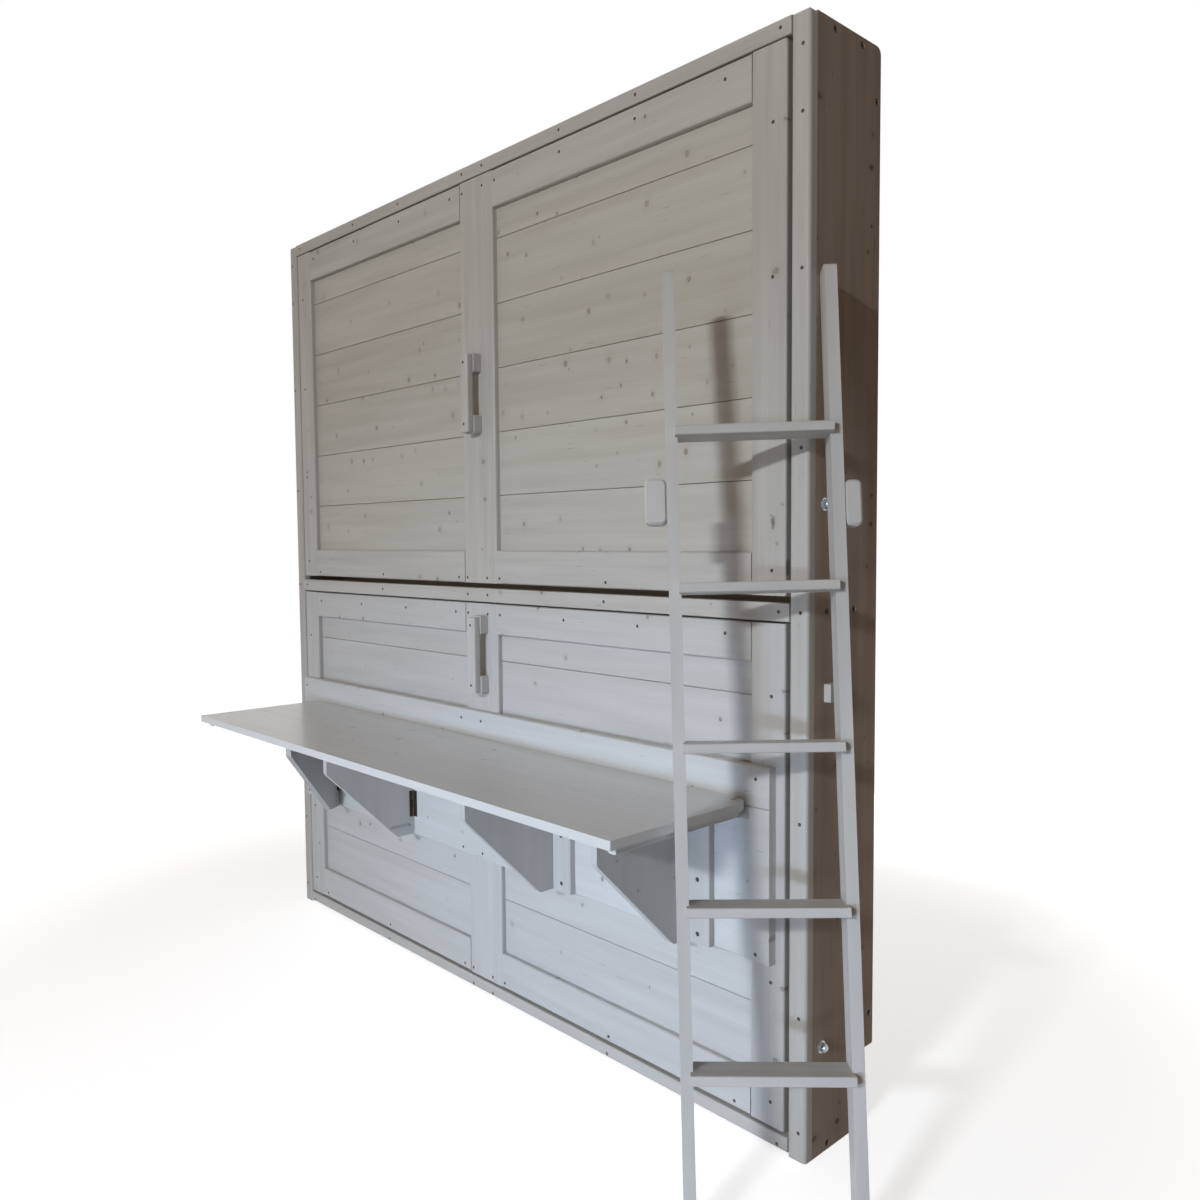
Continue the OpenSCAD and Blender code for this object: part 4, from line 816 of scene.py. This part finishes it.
class WALLBED_OT_stage(bpy.types.Operator):
    """Set the camera, the floor, the lights and the pale surroundings"""

    bl_idname = "wallbed.stage"
    bl_label = "Stage"

    def execute(self, context):
        stage = context.scene.wall_bed_stage
        context.scene.view_settings.view_transform = "Standard"
        self.camera(context, stage)
        self.floor(context, stage)
        self.wall(context, stage)
        self.lights(context, stage)
        self.world(context, stage)
        return {"FINISHED"}

    def camera(self, context, stage):
        """The camera stands at the right, a little below the ladder's top, and looks along the front."""
        data = bpy.data.cameras.new("camera")
        data.sensor_fit = "HORIZONTAL"
        data.sensor_width = 36.0
        data.lens = stage.focal
        camera = bpy.data.objects.new("camera", data)
        context.scene.collection.objects.link(camera)
        turn, drop, roll = stage.camera_turn
        look = Matrix.Rotation(turn, 4, "Z") @ Matrix.Rotation(math.pi / 2 - drop, 4, "X")
        look = look @ Matrix.Rotation(roll, 4, "Z")
        camera.matrix_world = Matrix.Translation(stage.camera_place) @ look
        context.scene.camera = camera

    def seen(self, tree):
        """1 for rays that come straight from the camera or by way of metal or glass, else 0."""
        path = add(tree, "LightPath")
        seen = path.outputs["Is Camera Ray"]
        for name in ("Is Glossy Ray", "Is Transmission Ray"):
            seen = add(tree, "Math", {"operation": "MAXIMUM"}, {0: seen, 1: path.outputs[name]})
        return seen

    def floor(self, context, stage):
        """A plain pale floor that turns white away from the object and keeps the object's shadow."""
        material, tree = new_material("Plain pale floor")
        place = add(tree, "TexCoord").outputs["Object"]
        away = add(tree, "VectorMath", {"operation": "LENGTH"}, {0: place}).outputs["Value"]
        glow = {"Value": away, "From Min": 1.4, "From Max": 2.6, "To Min": 0.7, "To Max": 1.0}
        glow = add(tree, "MapRange", {"interpolation_type": "SMOOTHSTEP"}, glow)
        glow = add(tree, "Math", {"operation": "MULTIPLY"}, {0: glow, 1: self.seen(tree)})
        matt = add(tree, "BsdfDiffuse", {}, {"Color": rgba(stage.floor)})
        white = add(tree, "Emission", {}, {"Color": (1, 1, 1, 1), "Strength": glow})
        both = add(tree, "AddShader", {}, {0: matt, 1: white})
        add(tree, "OutputMaterial", {}, {"Surface": both})
        reach = 12.0
        corners = [(-reach, -reach, 0), (reach, -reach, 0), (reach, reach, 0), (-reach, reach, 0)]
        self.backdrop(context, "floor", corners, material)

    def wall(self, context, stage):
        """The room's wall, just behind the open back of the cabinet.

        It is seen only from the front, through the gaps of the cabinet, and lets light pass, so
        that the back of the object can be looked at.
        """
        material, tree = new_material("Plain pale wall")
        away = add(tree, "NewGeometry").outputs["Backfacing"]
        facing = add(tree, "Math", {"operation": "SUBTRACT"}, {0: 1.0, 1: away})
        shown = add(tree, "Math", {"operation": "MULTIPLY"}, {0: facing, 1: self.seen(tree)})
        matt = add(tree, "BsdfDiffuse", {}, {"Color": rgba(stage.floor)})
        links = {0: shown, 1: add(tree, "BsdfTransparent"), 2: matt}
        add(tree, "OutputMaterial", {}, {"Surface": add(tree, "MixShader", {}, links)})
        low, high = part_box("wall_rail")
        left, right, y = low.x, high.x, high.y + MM
        top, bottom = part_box("top_board")[0].z, 0.2
        corners = [(left, y, bottom), (right, y, bottom), (right, y, top), (left, y, top)]
        self.backdrop(context, "wall", corners, material)

    def backdrop(self, context, name, corners, material):
        """A flat piece of the stage."""
        mesh = bpy.data.meshes.new(name)
        mesh.from_pydata(corners, [], [(0, 1, 2, 3)])
        mesh.materials.append(material)
        piece = bpy.data.objects.new(name, mesh)
        context.scene.collection.objects.link(piece)

    def lights(self, context, stage):
        """A far window high up on the right, low windows in front, and a light low behind.

        The shadows of the ladder and of the desk give the window's place: 12 degrees to the right
        of the wall's normal, 13 degrees up from the ladder's top and 22 degrees up from the desk.
        Blue light of the sky comes level from the low windows, as a beam on the lower half. The
        light behind shows the open back.
        """
        day, sky = stage.daylight, stage.sky
        # name, power, colour, place, what it faces, width and height, spread in degrees
        lamps = [
            ("window", stage.window_power, day, (2.15, -6.7, 3.2), (0.9, FRONT, 0.8), (0.9, 0.2), 110),
            ("low", stage.low_power, sky, (1.1, -6.0, 0.55), (0.6, FRONT, 0.2), (3.0, 0.3), 34),
            ("back", stage.back_power, day, (-0.4, 2.7, 0.3), (0.0, 0.1, 1.2), (2.0, 0.5), 180),
        ]
        for name, watts, colour, place, target, (wide, tall), spread in lamps:
            data = bpy.data.lights.new(name, "AREA")
            data.shape = "RECTANGLE"
            data.size, data.size_y = wide, tall
            data.energy = watts
            data.color = colour
            data.spread = math.radians(spread)
            lamp = bpy.data.objects.new(name, data)
            look = (Vector(target) - Vector(place)).to_track_quat("-Z", "Y").to_matrix().to_4x4()
            lamp.matrix_world = Matrix.Translation(place) @ look
            context.scene.collection.objects.link(lamp)

    def world(self, context, stage):
        """White where the camera sees it.

        The object gets warm light from in front, and little from the right and from the wall.
        """
        world = bpy.data.worlds.new("studio")
        world.use_nodes = True
        tree = world.node_tree
        tree.nodes.clear()
        way = add(tree, "SeparateXYZ", {}, {0: add(tree, "TexCoord").outputs["Generated"]})
        right = add(tree, "MapRange", {}, {"Value": way.outputs["X"], "From Min": 0.1, "From Max": 0.7})
        links = {"Factor": right.outputs[0], 6: rgba(stage.warm), 7: rgba(stage.brown)}
        room = add(tree, "Mix", {"data_type": "RGBA"}, links).outputs[2]
        level = {"Value": way.outputs["Y"], "From Min": -0.1, "From Max": 0.35}
        level.update({"To Min": stage.ambient, "To Max": 0.04})
        level = add(tree, "MapRange", {"interpolation_type": "SMOOTHSTEP"}, level)
        room = add(tree, "Background", {}, {"Color": room, "Strength": level})
        white = add(tree, "Background", {}, {"Color": (1, 1, 1, 1), "Strength": 1.0})
        light = add(tree, "MixShader", {}, {0: self.seen(tree), 1: room, 2: white})
        add(tree, "OutputWorld", {}, {"Surface": light})
        context.scene.world = world


class WALLBED_PT_pieces(bpy.types.Panel):
    """Lists the wall bed's pieces and their settings"""

    bl_idname = "WALLBED_PT_pieces"
    bl_label = "Wall bed"
    bl_space_type = "VIEW_3D"
    bl_region_type = "UI"
    bl_category = "Wall bed"

    def draw(self, context):
        for operator in OPERATORS:
            self.layout.operator(operator.bl_idname)
        for group in GROUPS:
            settings = getattr(context.scene, group)
            box = self.layout.box()
            for name in settings.__annotations__:
                box.prop(settings, name)


OPERATORS = (
    WALLBED_OT_stage,
    WALLBED_OT_cabinet,
    WALLBED_OT_fronts,
    WALLBED_OT_bed_frames,
    WALLBED_OT_desk,
    WALLBED_OT_ladder,
    WALLBED_OT_fittings,
    WALLBED_OT_mattresses,
)
GROUPS = {
    "wall_bed_wood": WallBedWood,
    "wall_bed_metal": WallBedMetal,
    "wall_bed_soft": WallBedSoft,
    "wall_bed_stage": WallBedStage,
}


def register():
    for group in GROUPS.values():
        bpy.utils.register_class(group)
    for name, group in GROUPS.items():
        setattr(bpy.types.Scene, name, PointerProperty(type=group))
    for operator in (*OPERATORS, WALLBED_PT_pieces):
        bpy.utils.register_class(operator)


def unregister():
    for operator in (WALLBED_PT_pieces, *reversed(OPERATORS)):
        bpy.utils.unregister_class(operator)
    for name, group in GROUPS.items():
        delattr(bpy.types.Scene, name)
        bpy.utils.unregister_class(group)


def main():
    """Registers the add-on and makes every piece."""
    register()
    for operator in OPERATORS:
        group, name = operator.bl_idname.split(".")
        getattr(getattr(bpy.ops, group), name)()


if __name__ == "__main__":
    main()
